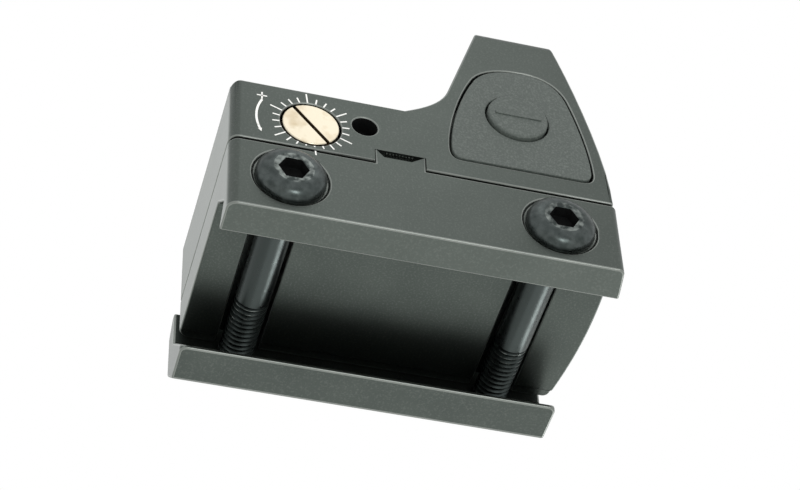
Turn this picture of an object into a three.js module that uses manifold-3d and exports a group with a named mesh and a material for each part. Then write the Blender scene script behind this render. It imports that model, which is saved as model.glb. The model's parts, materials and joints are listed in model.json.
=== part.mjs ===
// An open reflex finder sight on a low clamp for a dovetail accessory rail.
// Millimetres. +X is the side with the windage dial, +Y points at the target, +Z is up.
// The origin is the middle of the rail seat, half way between the two cross screws.
import * as THREE from "three";
import { mergeVertices } from "three/addons/utils/BufferGeometryUtils.js";
import Module from "manifold-3d";

const wasm = await Module();
wasm.setup();

// ---- Driving dimensions -------------------------------------------------------------------

// Outline seen from above, shared by the mount and the housing
const HALF_WIDTH = 13.3;
const REAR_Y = -21.75;
const FRONT_Y = 23.15; // middle of the bowed front of the mount
const FRONT_BOW_RADIUS = 70;
const REAR_CORNER = 1.2;
const FRONT_CORNER = 0.8;

// The rail that it clamps to: a 21.2 mm dovetail with cross slots every 10.01 mm
const RAIL_TOP_HALF = 7.8;
const RAIL_HALF_WIDTH = 10.6;
const RAIL_SLOT_PITCH = 10.01;
const RAIL_CLEARANCE = 0.25;
const LIP_X = 9.0; // inner edge of each jaw's lip
const LIP_LAND = 0.4; // height of the small flat at the lip's tip
const JAW_DROP = 5.6; // from the rail seat down to the foot of the jaws
const SEAT_EDGE_X = 12.0; // the seat ends here, inboard of the clamp bar's hook
const SEAT_RELIEF = 0.3; // height of the step beyond the seat's edge

// Mount
const PLATE_THICKNESS = 4.75;
const SCREW_GROOVE_SIDE_ROOM = 0.45; // beside the screw in its cross groove
const SCREW_GROOVE_TOP_ROOM = 0.5;
const SPOTFACE_ROOM = 0.3; // round the screw's head
const SPOTFACE_DEPTH = 0.3;
const SEAL_THICKNESS = 0.3;
const SEAL_INSET = 0.7;
const TAB_REAR_Y = -5.6;
const TAB_LENGTH = 5.7;
const TAB_DEPTH = 1.3;
const TAB_TIP = 0.12; // flat on each of the tab's two horns
const TAB_DISH_FLOOR = 1.1; // from the plate up to the floor between the horns
const TAB_DISH_REAR_SLOPE = 1.0;
const TAB_DISH_FRONT_SLOPE = 1.6;

// Clamp bar
const BAR_GAP = 0.72; // between the bar and the mount's side, as it sits before tightening
const BAR_THICKNESS = 3.4;
const BAR_TOP = 4.6;
const BAR_TOP_LAND = 0.9;
const BAR_OVERHANG = 0.35; // how far the bar's rear end stands behind the mount
const BAR_LENGTH = 43.4;
const BAR_CORNER = 0.9;
const BAR_SHOULDER_Z = 2.3;
const BAR_FOOT_CHAMFER = 3.3;
const BAR_HOOK_TOP = -0.3; // where the hook's slope ends, just under the mount

// Cross screws, M4 x 0.7 with button heads
const SCREWS_APART = 3 * RAIL_SLOT_PITCH;
const SCREW_Z = -0.2;
const SCREW_RADIUS = 2.0;
const SCREW_CLEARANCE = 0.15;
const THREAD_PITCH = 0.7;
const THREAD_DEPTH = 0.4;
const THREAD_LENGTH = 11.9;
const SCREW_HEAD_RADIUS = 3.95;
const SCREW_HEAD_HEIGHT = 1.75;
const SCREW_HEAD_RIM = 0.4;
const SCREW_HEAD_FLAT = 2.25;
const HEX_ACROSS_CORNERS = 3.4;
const HEX_DEPTH = 1.45;

// Housing, with heights counted up from its own underside
const DECK_HEIGHT = 9.45;
const DECK_END_Y = -2.0;
const DECK_REAR_ROUND = 1.1;
const HOOD_HEIGHT = 26.8;
const HOOD_FOOT_Y = 3.2; // rear edge of the hood's sides where the ramp ends
const HOOD_FOOT_HEIGHT = 14.25;
const HOOD_TOP_REAR_Y = 7.35;
const HOOD_TOP_FRONT_Y = 16.3;
const HOUSING_FRONT_Y = 21.6;
const HOOD_EAR_RADIUS = 1.5;
const HOOD_DIP = 1.35; // the top falls this much from its two ears to its middle
const WALL = 2.9;
const NOTCH_HEIGHT = 1.9; // the mount's tab fills it

// Window and lens
const WINDOW_HALF = 10.3;
const WINDOW_SILL_RISE = 0.4; // above the deck
const WINDOW_BROW = 2.9; // from the window's top edge up to the hood's ears
const WINDOW_CORNER = 2.6;
const LENS_TILT = THREE.MathUtils.degToRad(12.5);
const LENS_THICKNESS = 2.2;
const LENS_OVERLAP = 0.55; // how far the glass reaches past the window's edge
const LENS_BEAD = 0.45; // width of the bead of sealant round the glass
const LENS_CENTRE_Y = 17.1;

// Adjusters: a slotted dial flush with the surface, on a captive screw
const ADJUSTER_Y = -12.78;
const WINDAGE_FLOOR = 0.6; // under the windage dial's pocket
const DIAL_RADIUS = 3.2;
const DIAL_GAP = 0.25;
const DIAL_THICKNESS = 1.0;
const DIAL_NECK = 2.5;
const DIAL_DEPTH = 2.5; // from the face of the dial to the floor of its pocket
const DIAL_BEVEL = 0.08;
const DIAL_SLOT_WIDTH = 0.42;
const DIAL_SLOT_DEPTH = 0.6;
const DIAL_SLOT_ANGLE = THREE.MathUtils.degToRad(-52.5);
const ADJUSTER_SHANK = 1.4;
const SHANK_CLEARANCE = 0.15;
const O_RING_TUBE = 0.42;
const CLIP_RADIUS = 2.1;
const CLIP_THICKNESS = 0.4;
const CLIP_MOUTH = 1.2;
const WINDAGE_BOSS = 1.4; // stands into the bay from its side
const GUIDE_HOLE_Y = -6.67;
const GUIDE_HOLE_HEIGHT = 5.4;
const GUIDE_HOLE_RADIUS = 1.45;
const GUIDE_HOLE_DEPTH = 2.2;

// Bay inside the housing, open underneath
const BAY_REAR_WALL = 2.15;
const BAY_FRONT_WALL = 4.15;
const BAY_CORNER = 2.0;
const BAY_ROOF = 0.65; // under the elevation dial's pocket
const BAY_CHIP_ROOM = 0.85; // over the controller chip
const BAY_STEP_Y = -1.0;
const PILLAR_RADIUS = 2.9;

// Screws that hold the housing down on the mount, M3 with countersunk heads
const SIGHT_SCREW_INSET = 4.4; // from the housing's side
const SIGHT_SCREW_Y = -3.2;
const SIGHT_SCREW_RADIUS = 1.5;
const SIGHT_SCREW_HEAD = 2.8;
const SIGHT_SCREW_SUNK = 0.3;
const SIGHT_SCREW_GRIP = 3.6; // length of thread in the mount
const SIGHT_SCREW_HEX = 2.3; // across its corners
const SIGHT_SCREW_HEX_DEPTH = 1.1;

// Emitter and its two slides
const TRAVEL = 0.5; // either way, in each direction
const GAP = 0.3;
const FRAME_PLATE = 0.5;
const FRAME_ROOM = 0.8; // beside the frame plate, inside the windage boss
const SLIDE_PLATE = 0.7;
const SLIDE_HALF = 5.0;
const SLIDE_REAR_Y = -16.2;
const SLIDE_FRONT_Y = -4.9;
const SLIDE_BOSS_START = 3.7;
const SLIDE_BOSS_END = 7.0;
const SLIDE_BOSS_HALF = 2.6;
const SLIDE_LUG = 0.8; // thickness of the lug that its spring bears on
const SLIDE_LUG_HEIGHT = 2.0;
const CARRIAGE_HALF = 3.2;
const CARRIAGE_ROOM = 0.6; // over the carriage at the top of its travel
const CARRIAGE_REAR_Y = -15.6;
const CARRIAGE_FRONT_Y = -5.2;
const NUT_HALF = 2.1;
const NUT_SHARE = 0.5; // of the carriage's height
const LED_Y = -6.9;
const LED_TILT = THREE.MathUtils.degToRad(27);
const LED_HALF = 1.0;
const LED_THICKNESS = 0.6;
const LED_DOME = 0.6;
const LED_SEAT_DROP = 0.55; // the sloping seat starts this far below the carriage's top
const LED_SUNK = 0.35;
const SPRING_RADIUS = 0.85;
const SPRING_WIRE = 0.13;
const SPRING_Y = -7.4;
const SPRING_SEAT = 1.5; // depth of the spring's seat in the carriage
const CARRIAGE_SPRING_TURNS = 4;
const WINDAGE_SPRING_TURNS = 6;
const WELL_HALF = 3.4;
const WELL_WALL = 0.48; // between the elevation dial's pocket and the well's ledge
const WELL_FRONT_Y = -0.6;
const WELL_WINDOW_THICKNESS = 0.6;
const WELL_WINDOW_SUNK = 0.4;
const WELL_LEDGE = 0.45;

// Keypads: a rubber pad let into each side of the hood, with one round button
const KEYPAD_DEPTH = 1.9; // depth of the pocket
const KEYPAD_THICKNESS = 1.0;
const KEYPAD_PROUD = 0.1;
const KEYPAD_GAP = 0.22;
const KEYPAD_REAR_Y = 3.25;
const KEYPAD_FRONT_Y = 19.45;
const KEYPAD_BOTTOM = 3.0;
const KEYPAD_TOP = 19.9;
const BUTTON_Y = 11.25;
const BUTTON_HEIGHT = 11.55;
const BUTTON_RADIUS = 3.55;
const BUTTON_GAP = 0.22;
const BUTTON_PROUD = 0.5; // above the pad
const BUTTON_ROUND = 0.3;
const BUTTON_TRAVEL = 0.3;
const BUTTON_NUB = 1.0;
const BUTTON_NUB_HEIGHT = 0.2;
const DOME_RADIUS = 2.3;
const DOME_RISE = 0.35;
const FLEX_THICKNESS = 0.2;
const FLEX_HALF = 2.6;
const FLEX_MARGIN = 0.8; // above the snap dome
const FLEX_TAIL_LAP = 1.0; // over the edge of the board

// Cell and electronics
const CELL_RADIUS = 10;
const CELL_THICKNESS = 3.2;
const CELL_Y = 8.5;
const CELL_LIFT = 0.3; // above the housing's underside
const CELL_EDGE = 0.3;
const CELL_CAP_STEP = 0.4;
const CELL_CAP_INSET = 1.2;
const BOARD_THICKNESS = 0.8;
const CONTACT_ROOM = 0.85; // between the cell and the board
const BOARD_ROOM = 0.6; // beside the board
const BOARD_REAR_Y = 0.2;
const BOARD_FRONT_ROOM = 0.8;
const CONTACT_THICKNESS = 0.2;
const CONTACT_NEGATIVE_HALF = 1.5;
const CONTACT_POSITIVE_HALF = 2.0;
const CHIP_HALF = 2.5;
const CHIP_THICKNESS = 0.8;

// Fits, each a clearance on one side
const RUNNING_FIT = 0.05; // a shaft or thread in its own hole
const FREE_FIT = 0.1; // a piece dropped into its pocket
const TOUCH = 0.02; // between pieces that are pressed, soldered or bonded together

// ---- Sizes worked out from the ones above --------------------------------------------------

const HOUSING_Z = PLATE_THICKNESS + SEAL_THICKNESS;
const HEAD_SEAT_X = HALF_WIDTH - SPOTFACE_DEPTH;
const BAR_INNER_X = -(HALF_WIDTH + BAR_GAP);
const BAR_OUTER_X = BAR_INNER_X - BAR_THICKNESS;
const BAR_REAR_Y = REAR_Y - BAR_OVERHANG;
const SCREW_TIP_X = BAR_OUTER_X + GAP;
const SPOTFACE_RADIUS = SCREW_HEAD_RADIUS + SPOTFACE_ROOM;
const SCREW_GROOVE_HALF = SCREW_RADIUS + SCREW_GROOVE_SIDE_ROOM;
const SCREW_GROOVE_DEPTH = SCREW_Z + SCREW_RADIUS + SCREW_GROOVE_TOP_ROOM;
const WINDOW_SILL = DECK_HEIGHT + WINDOW_SILL_RISE;
const WINDOW_TOP = HOOD_HEIGHT - WINDOW_BROW;
const WINDAGE_HEIGHT = WINDAGE_FLOOR + DIAL_GAP + DIAL_RADIUS;
const BAY_HALF = HALF_WIDTH - WALL;
const BAY_REAR_Y = REAR_Y + BAY_REAR_WALL;
const BAY_FRONT_Y = FRONT_Y - BAY_FRONT_WALL;
const BAY_HEIGHT_REAR = DECK_HEIGHT - DIAL_DEPTH - BAY_ROOF;
const FRAME_HALF = BAY_HALF - WINDAGE_BOSS - FRAME_ROOM;
const WELL_REAR_Y = ADJUSTER_Y + DIAL_RADIUS + DIAL_GAP + WELL_WALL + WELL_LEDGE;
const SIGHT_SCREW_X = HALF_WIDTH - SIGHT_SCREW_INSET;
const FRAME_FRONT_Y = SIGHT_SCREW_Y - PILLAR_RADIUS - GAP;
const SLIDE_Z = GAP + FRAME_PLATE;
const SLIDE_TOP = SLIDE_Z + SLIDE_PLATE;
const CARRIAGE_Z = SLIDE_TOP + TRAVEL + GAP;
const CARRIAGE_TOP = BAY_HEIGHT_REAR - FREE_FIT - CLIP_THICKNESS - CARRIAGE_ROOM - TRAVEL;
const NUT_THICKNESS = NUT_SHARE * (CARRIAGE_TOP - CARRIAGE_Z);
const NUT_Z = (CARRIAGE_Z + CARRIAGE_TOP - NUT_THICKNESS) / 2;
const SHANK_END = SLIDE_TOP + GAP; // how low the elevation screw reaches
const LENS_CENTRE_HEIGHT = (WINDOW_SILL + WINDOW_TOP) / 2;
const KEYPAD_BACK_X = HALF_WIDTH + KEYPAD_PROUD - KEYPAD_THICKNESS;
const FLEX_X = HALF_WIDTH - KEYPAD_DEPTH + FREE_FIT;
const CELL_TOP = CELL_LIFT + CELL_THICKNESS;
const BOARD_HALF = BAY_HALF - BOARD_ROOM;
const BOARD_FRONT_Y = BAY_FRONT_Y - BOARD_FRONT_ROOM;
const BOARD_HEIGHT = CELL_TOP + CONTACT_ROOM;
const BOARD_TOP = BOARD_HEIGHT + BOARD_THICKNESS;
const BAY_HEIGHT_FRONT = BOARD_TOP + CHIP_THICKNESS + BAY_CHIP_ROOM;
const FLEX_TAIL_Z = BOARD_HEIGHT - FLEX_THICKNESS - FREE_FIT;
const WELL_WINDOW_Z = DECK_HEIGHT - WELL_WINDOW_SUNK - WELL_WINDOW_THICKNESS;

// ---- Finishes ------------------------------------------------------------------------------

const finish = (color, roughness, metalness) =>
  new THREE.MeshStandardMaterial({ color, roughness, metalness });

const anodised = finish(0x3b3d3b, 0.55, 0.6);
const blackSteel = finish(0x26282a, 0.35, 0.8);
const nickelBrass = finish(0xcfc2a6, 0.35, 0.9);
const steel = finish(0xa8aaac, 0.35, 1.0);
const rubber = finish(0x2f3130, 0.85, 0.0);
const sealRubber = finish(0x151515, 0.8, 0.0);
const coatedGlass = finish(0xc9b6d6, 0.05, 0.0);
const boardGreen = finish(0x1f5a3a, 0.5, 0.0);
const chipBlack = finish(0x161618, 0.5, 0.0);
const polyimide = finish(0xb0712a, 0.4, 0.0);
const gold = finish(0xd8b25a, 0.3, 1.0);
const ledResin = finish(0xc23a30, 0.2, 0.0);

// ---- Ways of making a solid ----------------------------------------------------------------

function toSolid(geometry) {
  const bare = geometry.clone();
  bare.deleteAttribute("normal");
  bare.deleteAttribute("uv");
  const merged = mergeVertices(bare, 1e-4);
  return new wasm.Manifold(
    new wasm.Mesh({
      numProp: 3,
      vertProperties: merged.getAttribute("position").array,
      triVerts: new Uint32Array(merged.getIndex().array),
    }),
  );
}

function toGeometry(solid) {
  const mesh = solid.getMesh();
  const geometry = new THREE.BufferGeometry();
  geometry.setAttribute("position", new THREE.BufferAttribute(mesh.vertProperties, 3));
  geometry.setIndex(new THREE.BufferAttribute(mesh.triVerts, 1));
  const faceted = geometry.toNonIndexed();
  faceted.computeVertexNormals();
  return faceted;
}

function combine(operation, first, others) {
  let result = toSolid(first);
  for (const other of others) result = result[operation](toSolid(other));
  return toGeometry(result);
}

const cut = (body, ...tools) => combine("subtract", body, tools);
const join = (body, ...more) => combine("add", body, more);
const common = (body, ...limits) => combine("intersect", body, limits);

function box(x0, x1, y0, y1, z0, z1) {
  const geometry = new THREE.BoxGeometry(x1 - x0, y1 - y0, z1 - z0);
  return geometry.translate((x0 + x1) / 2, (y0 + y1) / 2, (z0 + z1) / 2);
}

function polygon(points) {
  return new THREE.Shape(points.map(([x, y]) => new THREE.Vector2(x, y)));
}

// A shape drawn in plan (X, Y), raised from z0 to z1.
function raise(shape, z0, z1, curveSegments = 10) {
  const options = { depth: z1 - z0, bevelEnabled: false, curveSegments };
  return new THREE.ExtrudeGeometry(shape, options).translate(0, 0, z0);
}

// A shape drawn in side view (Y, Z), carried across from x0 to x1.
function carryAcross(shape, x0, x1, curveSegments = 10, steps = 1) {
  const options = { depth: x1 - x0, bevelEnabled: false, curveSegments, steps };
  const turn = new THREE.Matrix4().makeBasis(
    new THREE.Vector3(0, 1, 0),
    new THREE.Vector3(0, 0, 1),
    new THREE.Vector3(1, 0, 0),
  );
  return new THREE.ExtrudeGeometry(shape, options).applyMatrix4(turn).translate(x0, 0, 0);
}

// A shape drawn from behind (X, Z), run forward from y0 to y1.
function runForward(shape, y0, y1, curveSegments = 10) {
  const options = { depth: y1 - y0, bevelEnabled: false, curveSegments };
  return new THREE.ExtrudeGeometry(shape, options).rotateX(Math.PI / 2).translate(0, y1, 0);
}

// A profile of [radius, height] points from bottom to top, turned round Z.
function turned(profile, segments = 24) {
  const points = profile.map(([radius, height]) => new THREE.Vector2(radius, height));
  return new THREE.LatheGeometry(points, segments).rotateX(Math.PI / 2);
}

function rod(radius, z0, z1, segments = 24) {
  return turned([[0, z0], [radius, z0], [radius, z1], [0, z1]], segments);
}

const alongX = (geometry) => geometry.rotateY(Math.PI / 2);

// The two ends of a stretch of X, from inner to outer on the right side or its mirror image.
const stretch = (side, inner, outer) => (side > 0 ? [inner, outer] : [-outer, -inner]);

function coil(radius, wire, length, turns) {
  class Helix extends THREE.Curve {
    getPoint(t, target = new THREE.Vector3()) {
      const angle = 2 * Math.PI * turns * t;
      const height = wire + t * (length - 2 * wire);
      return target.set(radius * Math.cos(angle), radius * Math.sin(angle), height);
    }
  }
  const section = new THREE.Shape().absarc(0, 0, wire, 0, 2 * Math.PI);
  const options = { extrudePath: new Helix(), steps: turns * 9, curveSegments: 3 };
  return new THREE.ExtrudeGeometry(section, { ...options, bevelEnabled: false });
}

// The same piece for the left side, each triangle turned over so that it still faces out.
function mirrored(geometry) {
  const flipped = geometry.index ? geometry.toNonIndexed() : geometry.clone();
  flipped.scale(-1, 1, 1);
  const position = flipped.getAttribute("position");
  for (let i = 0; i < position.count; i += 3) {
    const [x, y, z] = [position.getX(i), position.getY(i), position.getZ(i)];
    position.setXYZ(i, position.getX(i + 1), position.getY(i + 1), position.getZ(i + 1));
    position.setXYZ(i + 1, x, y, z);
  }
  flipped.computeVertexNormals();
  return flipped;
}

const sight = new THREE.Group();
const optic = new THREE.Group(); // everything that sits on the mount
optic.position.z = HOUSING_Z;
sight.add(optic);

function place(parent, name, geometry, material) {
  const mesh = new THREE.Mesh(geometry, material);
  mesh.name = name;
  parent.add(mesh);
  return mesh;
}

// ---- Outlines ------------------------------------------------------------------------------

// The plan outline: round rear corners, a gently bowed front with small corners.
function planOutline(inset = 0) {
  const side = HALF_WIDTH - inset;
  const rear = REAR_Y + inset;
  const bow = FRONT_BOW_RADIUS - inset;
  const bowCentre = FRONT_Y - FRONT_BOW_RADIUS;
  const corner = FRONT_CORNER;
  const reach = side - corner;
  const cornerY = bowCentre + Math.sqrt((bow - corner) ** 2 - reach ** 2);
  const turn = Math.atan2(cornerY - bowCentre, reach);
  const round = Math.max(REAR_CORNER - inset, 0.2);
  const shape = new THREE.Shape();
  shape.moveTo(-side + round, rear);
  shape.lineTo(side - round, rear);
  shape.absarc(side - round, rear + round, round, -Math.PI / 2, 0);
  shape.absarc(reach, cornerY, corner, 0, turn);
  shape.absarc(0, bowCentre, bow, turn, Math.PI - turn);
  shape.absarc(-reach, cornerY, corner, Math.PI - turn, Math.PI);
  shape.absarc(-side + round, rear + round, round, Math.PI, 1.5 * Math.PI);
  return shape;
}

// The housing in side view: rear deck, ramp, leaning hood and curved front.
function sideOutline() {
  const shape = new THREE.Shape();
  shape.moveTo(REAR_Y, 0);
  shape.lineTo(HOUSING_FRONT_Y, 0);
  shape.bezierCurveTo(
    HOUSING_FRONT_Y + 0.1, 0.26 * HOOD_HEIGHT,
    HOOD_TOP_FRONT_Y + 2.2, 0.74 * HOOD_HEIGHT,
    HOOD_TOP_FRONT_Y, HOOD_HEIGHT - 0.4,
  );
  shape.quadraticCurveTo(HOOD_TOP_FRONT_Y - 0.15, HOOD_HEIGHT, HOOD_TOP_FRONT_Y - 0.7, HOOD_HEIGHT);
  shape.lineTo(HOOD_TOP_REAR_Y + 0.4, HOOD_HEIGHT);
  shape.quadraticCurveTo(HOOD_TOP_REAR_Y, HOOD_HEIGHT, HOOD_TOP_REAR_Y - 0.12, HOOD_HEIGHT - 0.5);
  shape.lineTo(HOOD_FOOT_Y, HOOD_FOOT_HEIGHT);
  shape.bezierCurveTo(
    HOOD_FOOT_Y - 0.7, HOOD_FOOT_HEIGHT - 1.9,
    DECK_END_Y + 3.0, DECK_HEIGHT + 1.5,
    DECK_END_Y, DECK_HEIGHT,
  );
  shape.lineTo(REAR_Y + DECK_REAR_ROUND, DECK_HEIGHT);
  shape.absarc(
    REAR_Y + DECK_REAR_ROUND, DECK_HEIGHT - DECK_REAR_ROUND,
    DECK_REAR_ROUND, Math.PI / 2, Math.PI,
  );
  return shape;
}

// The housing from behind: upright sides, an ear at each top corner and a shallow dip between.
function hoodOutline() {
  const ear = HALF_WIDTH - HOOD_EAR_RADIUS;
  const earZ = HOOD_HEIGHT - HOOD_EAR_RADIUS;
  const middle = HOOD_HEIGHT - HOOD_DIP;
  const shape = new THREE.Shape();
  shape.moveTo(-HALF_WIDTH, -1);
  shape.lineTo(HALF_WIDTH, -1);
  shape.absarc(ear, earZ, HOOD_EAR_RADIUS, 0, Math.PI / 2);
  shape.quadraticCurveTo(ear / 2, middle, 0, middle);
  shape.quadraticCurveTo(-ear / 2, middle, -ear, HOOD_HEIGHT);
  shape.absarc(-ear, earZ, HOOD_EAR_RADIUS, Math.PI / 2, Math.PI);
  return shape;
}

function roundedWindow(grow) {
  const half = WINDOW_HALF + grow;
  const halfHeight = (WINDOW_TOP - WINDOW_SILL) / 2 + grow;
  const round = WINDOW_CORNER + grow;
  const shape = new THREE.Shape();
  shape.absarc(half - round, -halfHeight + round, round, -Math.PI / 2, 0);
  shape.absarc(half - round, halfHeight - round, round, 0, Math.PI / 2);
  shape.absarc(-half + round, halfHeight - round, round, Math.PI / 2, Math.PI);
  shape.absarc(-half + round, -halfHeight + round, round, Math.PI, 1.5 * Math.PI);
  return shape;
}

// The keypad in side view: a flat foot, two leaning flanks and an arched top.
function keypadOutline(grow) {
  const rear = KEYPAD_REAR_Y - grow;
  const front = KEYPAD_FRONT_Y + grow;
  const bottom = KEYPAD_BOTTOM - grow;
  const top = KEYPAD_TOP + grow;
  const height = top - bottom;
  const crown = rear + 0.57 * (front - rear);
  const shape = new THREE.Shape();
  shape.moveTo(rear + 1.35, bottom);
  shape.lineTo(front - 1.4, bottom);
  shape.quadraticCurveTo(front, bottom, front, bottom + 1.6);
  shape.bezierCurveTo(
    front, bottom + 0.28 * height,
    front - 1.05, bottom + 0.59 * height,
    front - 2.1, bottom + 0.79 * height,
  );
  shape.bezierCurveTo(front - 2.8, top - 1.45, crown + 2.6, top, crown, top);
  shape.bezierCurveTo(crown - 2.5, top, rear + 4.6, top - 0.65, rear + 3.3, top - 2.65);
  shape.bezierCurveTo(
    rear + 1.35, bottom + 0.64 * height,
    rear + 0.1, bottom + 0.32 * height,
    rear, bottom + 2.5,
  );
  shape.bezierCurveTo(rear - 0.05, bottom + 1.1, rear, bottom, rear + 1.35, bottom);
  return shape;
}

const atLens = (geometry) =>
  geometry.rotateX(LENS_TILT).translate(0, LENS_CENTRE_Y, LENS_CENTRE_HEIGHT);

const acrossAt = (geometry, y, z) => alongX(geometry).translate(0, y, z);

// Turns a piece made round Z so that it lies along X, with its face on the housing's side.
function asWindage(geometry) {
  return acrossAt(geometry.translate(0, 0, HALF_WIDTH), ADJUSTER_Y, WINDAGE_HEIGHT);
}

const asElevation = (geometry) => geometry.translate(0, ADJUSTER_Y, DECK_HEIGHT);

// ---- Mount ---------------------------------------------------------------------------------

// The near jaw and the space for the rail, from behind. The far side is open for the clamp bar.
function railSpace() {
  const nose = RAIL_HALF_WIDTH + RAIL_CLEARANCE;
  const upper = -(nose - RAIL_TOP_HALF);
  const lower = -JAW_DROP + LIP_LAND + (nose - LIP_X);
  const beyond = 2 * HALF_WIDTH;
  return polygon([
    [-beyond, 0],
    [-beyond, -beyond],
    [LIP_X, -beyond],
    [LIP_X, -JAW_DROP + LIP_LAND],
    [nose, lower],
    [nose, upper],
    [RAIL_TOP_HALF, 0],
  ]);
}

// The tab that stands up from each side of the mount: two horns with a dish between them.
function tabOutline() {
  const front = TAB_REAR_Y + TAB_LENGTH;
  const top = SEAL_THICKNESS + NOTCH_HEIGHT - RUNNING_FIT;
  return polygon([
    [TAB_REAR_Y, -1],
    [front, -1],
    [front, top],
    [front - TAB_TIP, top],
    [front - TAB_DISH_FRONT_SLOPE, TAB_DISH_FLOOR],
    [TAB_REAR_Y + TAB_DISH_REAR_SLOPE, TAB_DISH_FLOOR],
    [TAB_REAR_Y + TAB_TIP, top],
    [TAB_REAR_Y, top],
  ]);
}

function makeMount() {
  const blank = raise(planOutline(), -JAW_DROP, PLATE_THICKNESS);
  const [rear, front] = [2 * REAR_Y, 2 * FRONT_Y];
  const tools = [runForward(railSpace(), rear, front)];
  tools.push(box(-2 * HALF_WIDTH, -SEAT_EDGE_X, rear, front, -1, SEAT_RELIEF));
  for (const y of [-SCREWS_APART / 2, SCREWS_APART / 2]) {
    const [y0, y1] = [y - SCREW_GROOVE_HALF, y + SCREW_GROOVE_HALF];
    tools.push(box(-2 * HALF_WIDTH, RAIL_TOP_HALF, y0, y1, -1, SCREW_GROOVE_DEPTH));
    const hole = SCREW_RADIUS + SCREW_CLEARANCE;
    tools.push(acrossAt(rod(hole, RAIL_TOP_HALF - 1, 2 * HALF_WIDTH), y, SCREW_Z));
    tools.push(acrossAt(rod(SPOTFACE_RADIUS, HEAD_SEAT_X, 2 * HALF_WIDTH, 36), y, SCREW_Z));
  }
  for (const x of [-SIGHT_SCREW_X, SIGHT_SCREW_X]) {
    const bottom = PLATE_THICKNESS - SIGHT_SCREW_GRIP - GAP;
    const hole = rod(SIGHT_SCREW_RADIUS + RUNNING_FIT, bottom, 2 * PLATE_THICKNESS);
    tools.push(hole.translate(x, SIGHT_SCREW_Y, 0));
  }
  const tabs = [1, -1].map((side) => {
    const [x0, x1] = stretch(side, HALF_WIDTH - TAB_DEPTH, HALF_WIDTH);
    return carryAcross(tabOutline(), x0, x1).translate(0, 0, PLATE_THICKNESS);
  });
  return join(cut(blank, ...tools), ...tabs);
}

function makeClampBar() {
  const footZ = -JAW_DROP;
  const hookRise = BAR_HOOK_TOP - (footZ + LIP_LAND);
  const profile = polygon([
    [-LIP_X, footZ],
    [-LIP_X, footZ + LIP_LAND],
    [-LIP_X - hookRise, BAR_HOOK_TOP],
    [BAR_INNER_X, BAR_HOOK_TOP],
    [BAR_INNER_X, BAR_TOP],
    [BAR_INNER_X - BAR_TOP_LAND, BAR_TOP],
    [BAR_OUTER_X, BAR_SHOULDER_Z],
    [BAR_OUTER_X, footZ + BAR_FOOT_CHAMFER],
    [BAR_OUTER_X + BAR_FOOT_CHAMFER, footZ],
  ]);
  const front = BAR_REAR_Y + BAR_LENGTH;
  const ends = new THREE.Shape();
  const c = BAR_CORNER;
  ends.absarc(-LIP_X - c, BAR_REAR_Y + c, c, -Math.PI / 2, 0);
  ends.absarc(-LIP_X - c, front - c, c, 0, Math.PI / 2);
  ends.absarc(BAR_OUTER_X + c, front - c, c, Math.PI / 2, Math.PI);
  ends.absarc(BAR_OUTER_X + c, BAR_REAR_Y + c, c, Math.PI, 1.5 * Math.PI);
  const blank = runForward(profile, BAR_REAR_Y, front);
  const rounded = common(blank, raise(ends, 2 * footZ, 2 * BAR_TOP, 6));
  const holes = [-1, 1].map((end) => {
    const hole = rod(SCREW_RADIUS + RUNNING_FIT, 2 * BAR_OUTER_X, 0);
    return acrossAt(hole, (end * SCREWS_APART) / 2, SCREW_Z);
  });
  return cut(rounded, ...holes);
}

// A button-head screw along X: its tip at SCREW_TIP_X, its head on the spotface.
function makeCrossScrew() {
  const profile = [[0, SCREW_TIP_X]];
  const root = SCREW_RADIUS - THREAD_DEPTH;
  const crests = Math.floor(THREAD_LENGTH / THREAD_PITCH);
  for (let i = 0; i < crests; i += 1) {
    const start = SCREW_TIP_X + i * THREAD_PITCH;
    profile.push([root, start]);
    profile.push([SCREW_RADIUS, start + THREAD_PITCH / 2]);
  }
  const threadEnd = SCREW_TIP_X + crests * THREAD_PITCH;
  profile.push([root, threadEnd]);
  profile.push([SCREW_RADIUS, threadEnd + THREAD_PITCH / 2]);
  profile.push([SCREW_RADIUS, HEAD_SEAT_X]);
  profile.push([SCREW_HEAD_RADIUS, HEAD_SEAT_X]);
  const domeSteps = 5;
  const domeRise = SCREW_HEAD_HEIGHT - SCREW_HEAD_RIM;
  for (let i = 0; i <= domeSteps; i += 1) {
    const angle = (i / domeSteps) * (Math.PI / 2);
    const radius = SCREW_HEAD_FLAT + (SCREW_HEAD_RADIUS - SCREW_HEAD_FLAT) * Math.cos(angle);
    profile.push([radius, HEAD_SEAT_X + SCREW_HEAD_RIM + domeRise * Math.sin(angle)]);
  }
  const headTop = HEAD_SEAT_X + SCREW_HEAD_HEIGHT;
  profile.push([0, headTop]);
  const hex = rod(HEX_ACROSS_CORNERS / 2, headTop - HEX_DEPTH, headTop + 1, 6);
  return alongX(cut(turned(profile, 18), hex));
}

place(sight, "mount_base", makeMount(), anodised);
place(sight, "clamp_bar", makeClampBar(), anodised);
for (const [end, side] of [["front", 1], ["rear", -1]]) {
  const screw = place(sight, `cross_screw_${end}`, makeCrossScrew(), blackSteel);
  screw.position.set(0, (side * SCREWS_APART) / 2, SCREW_Z);
}

// ---- Seal between the housing and the mount ------------------------------------------------

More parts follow.
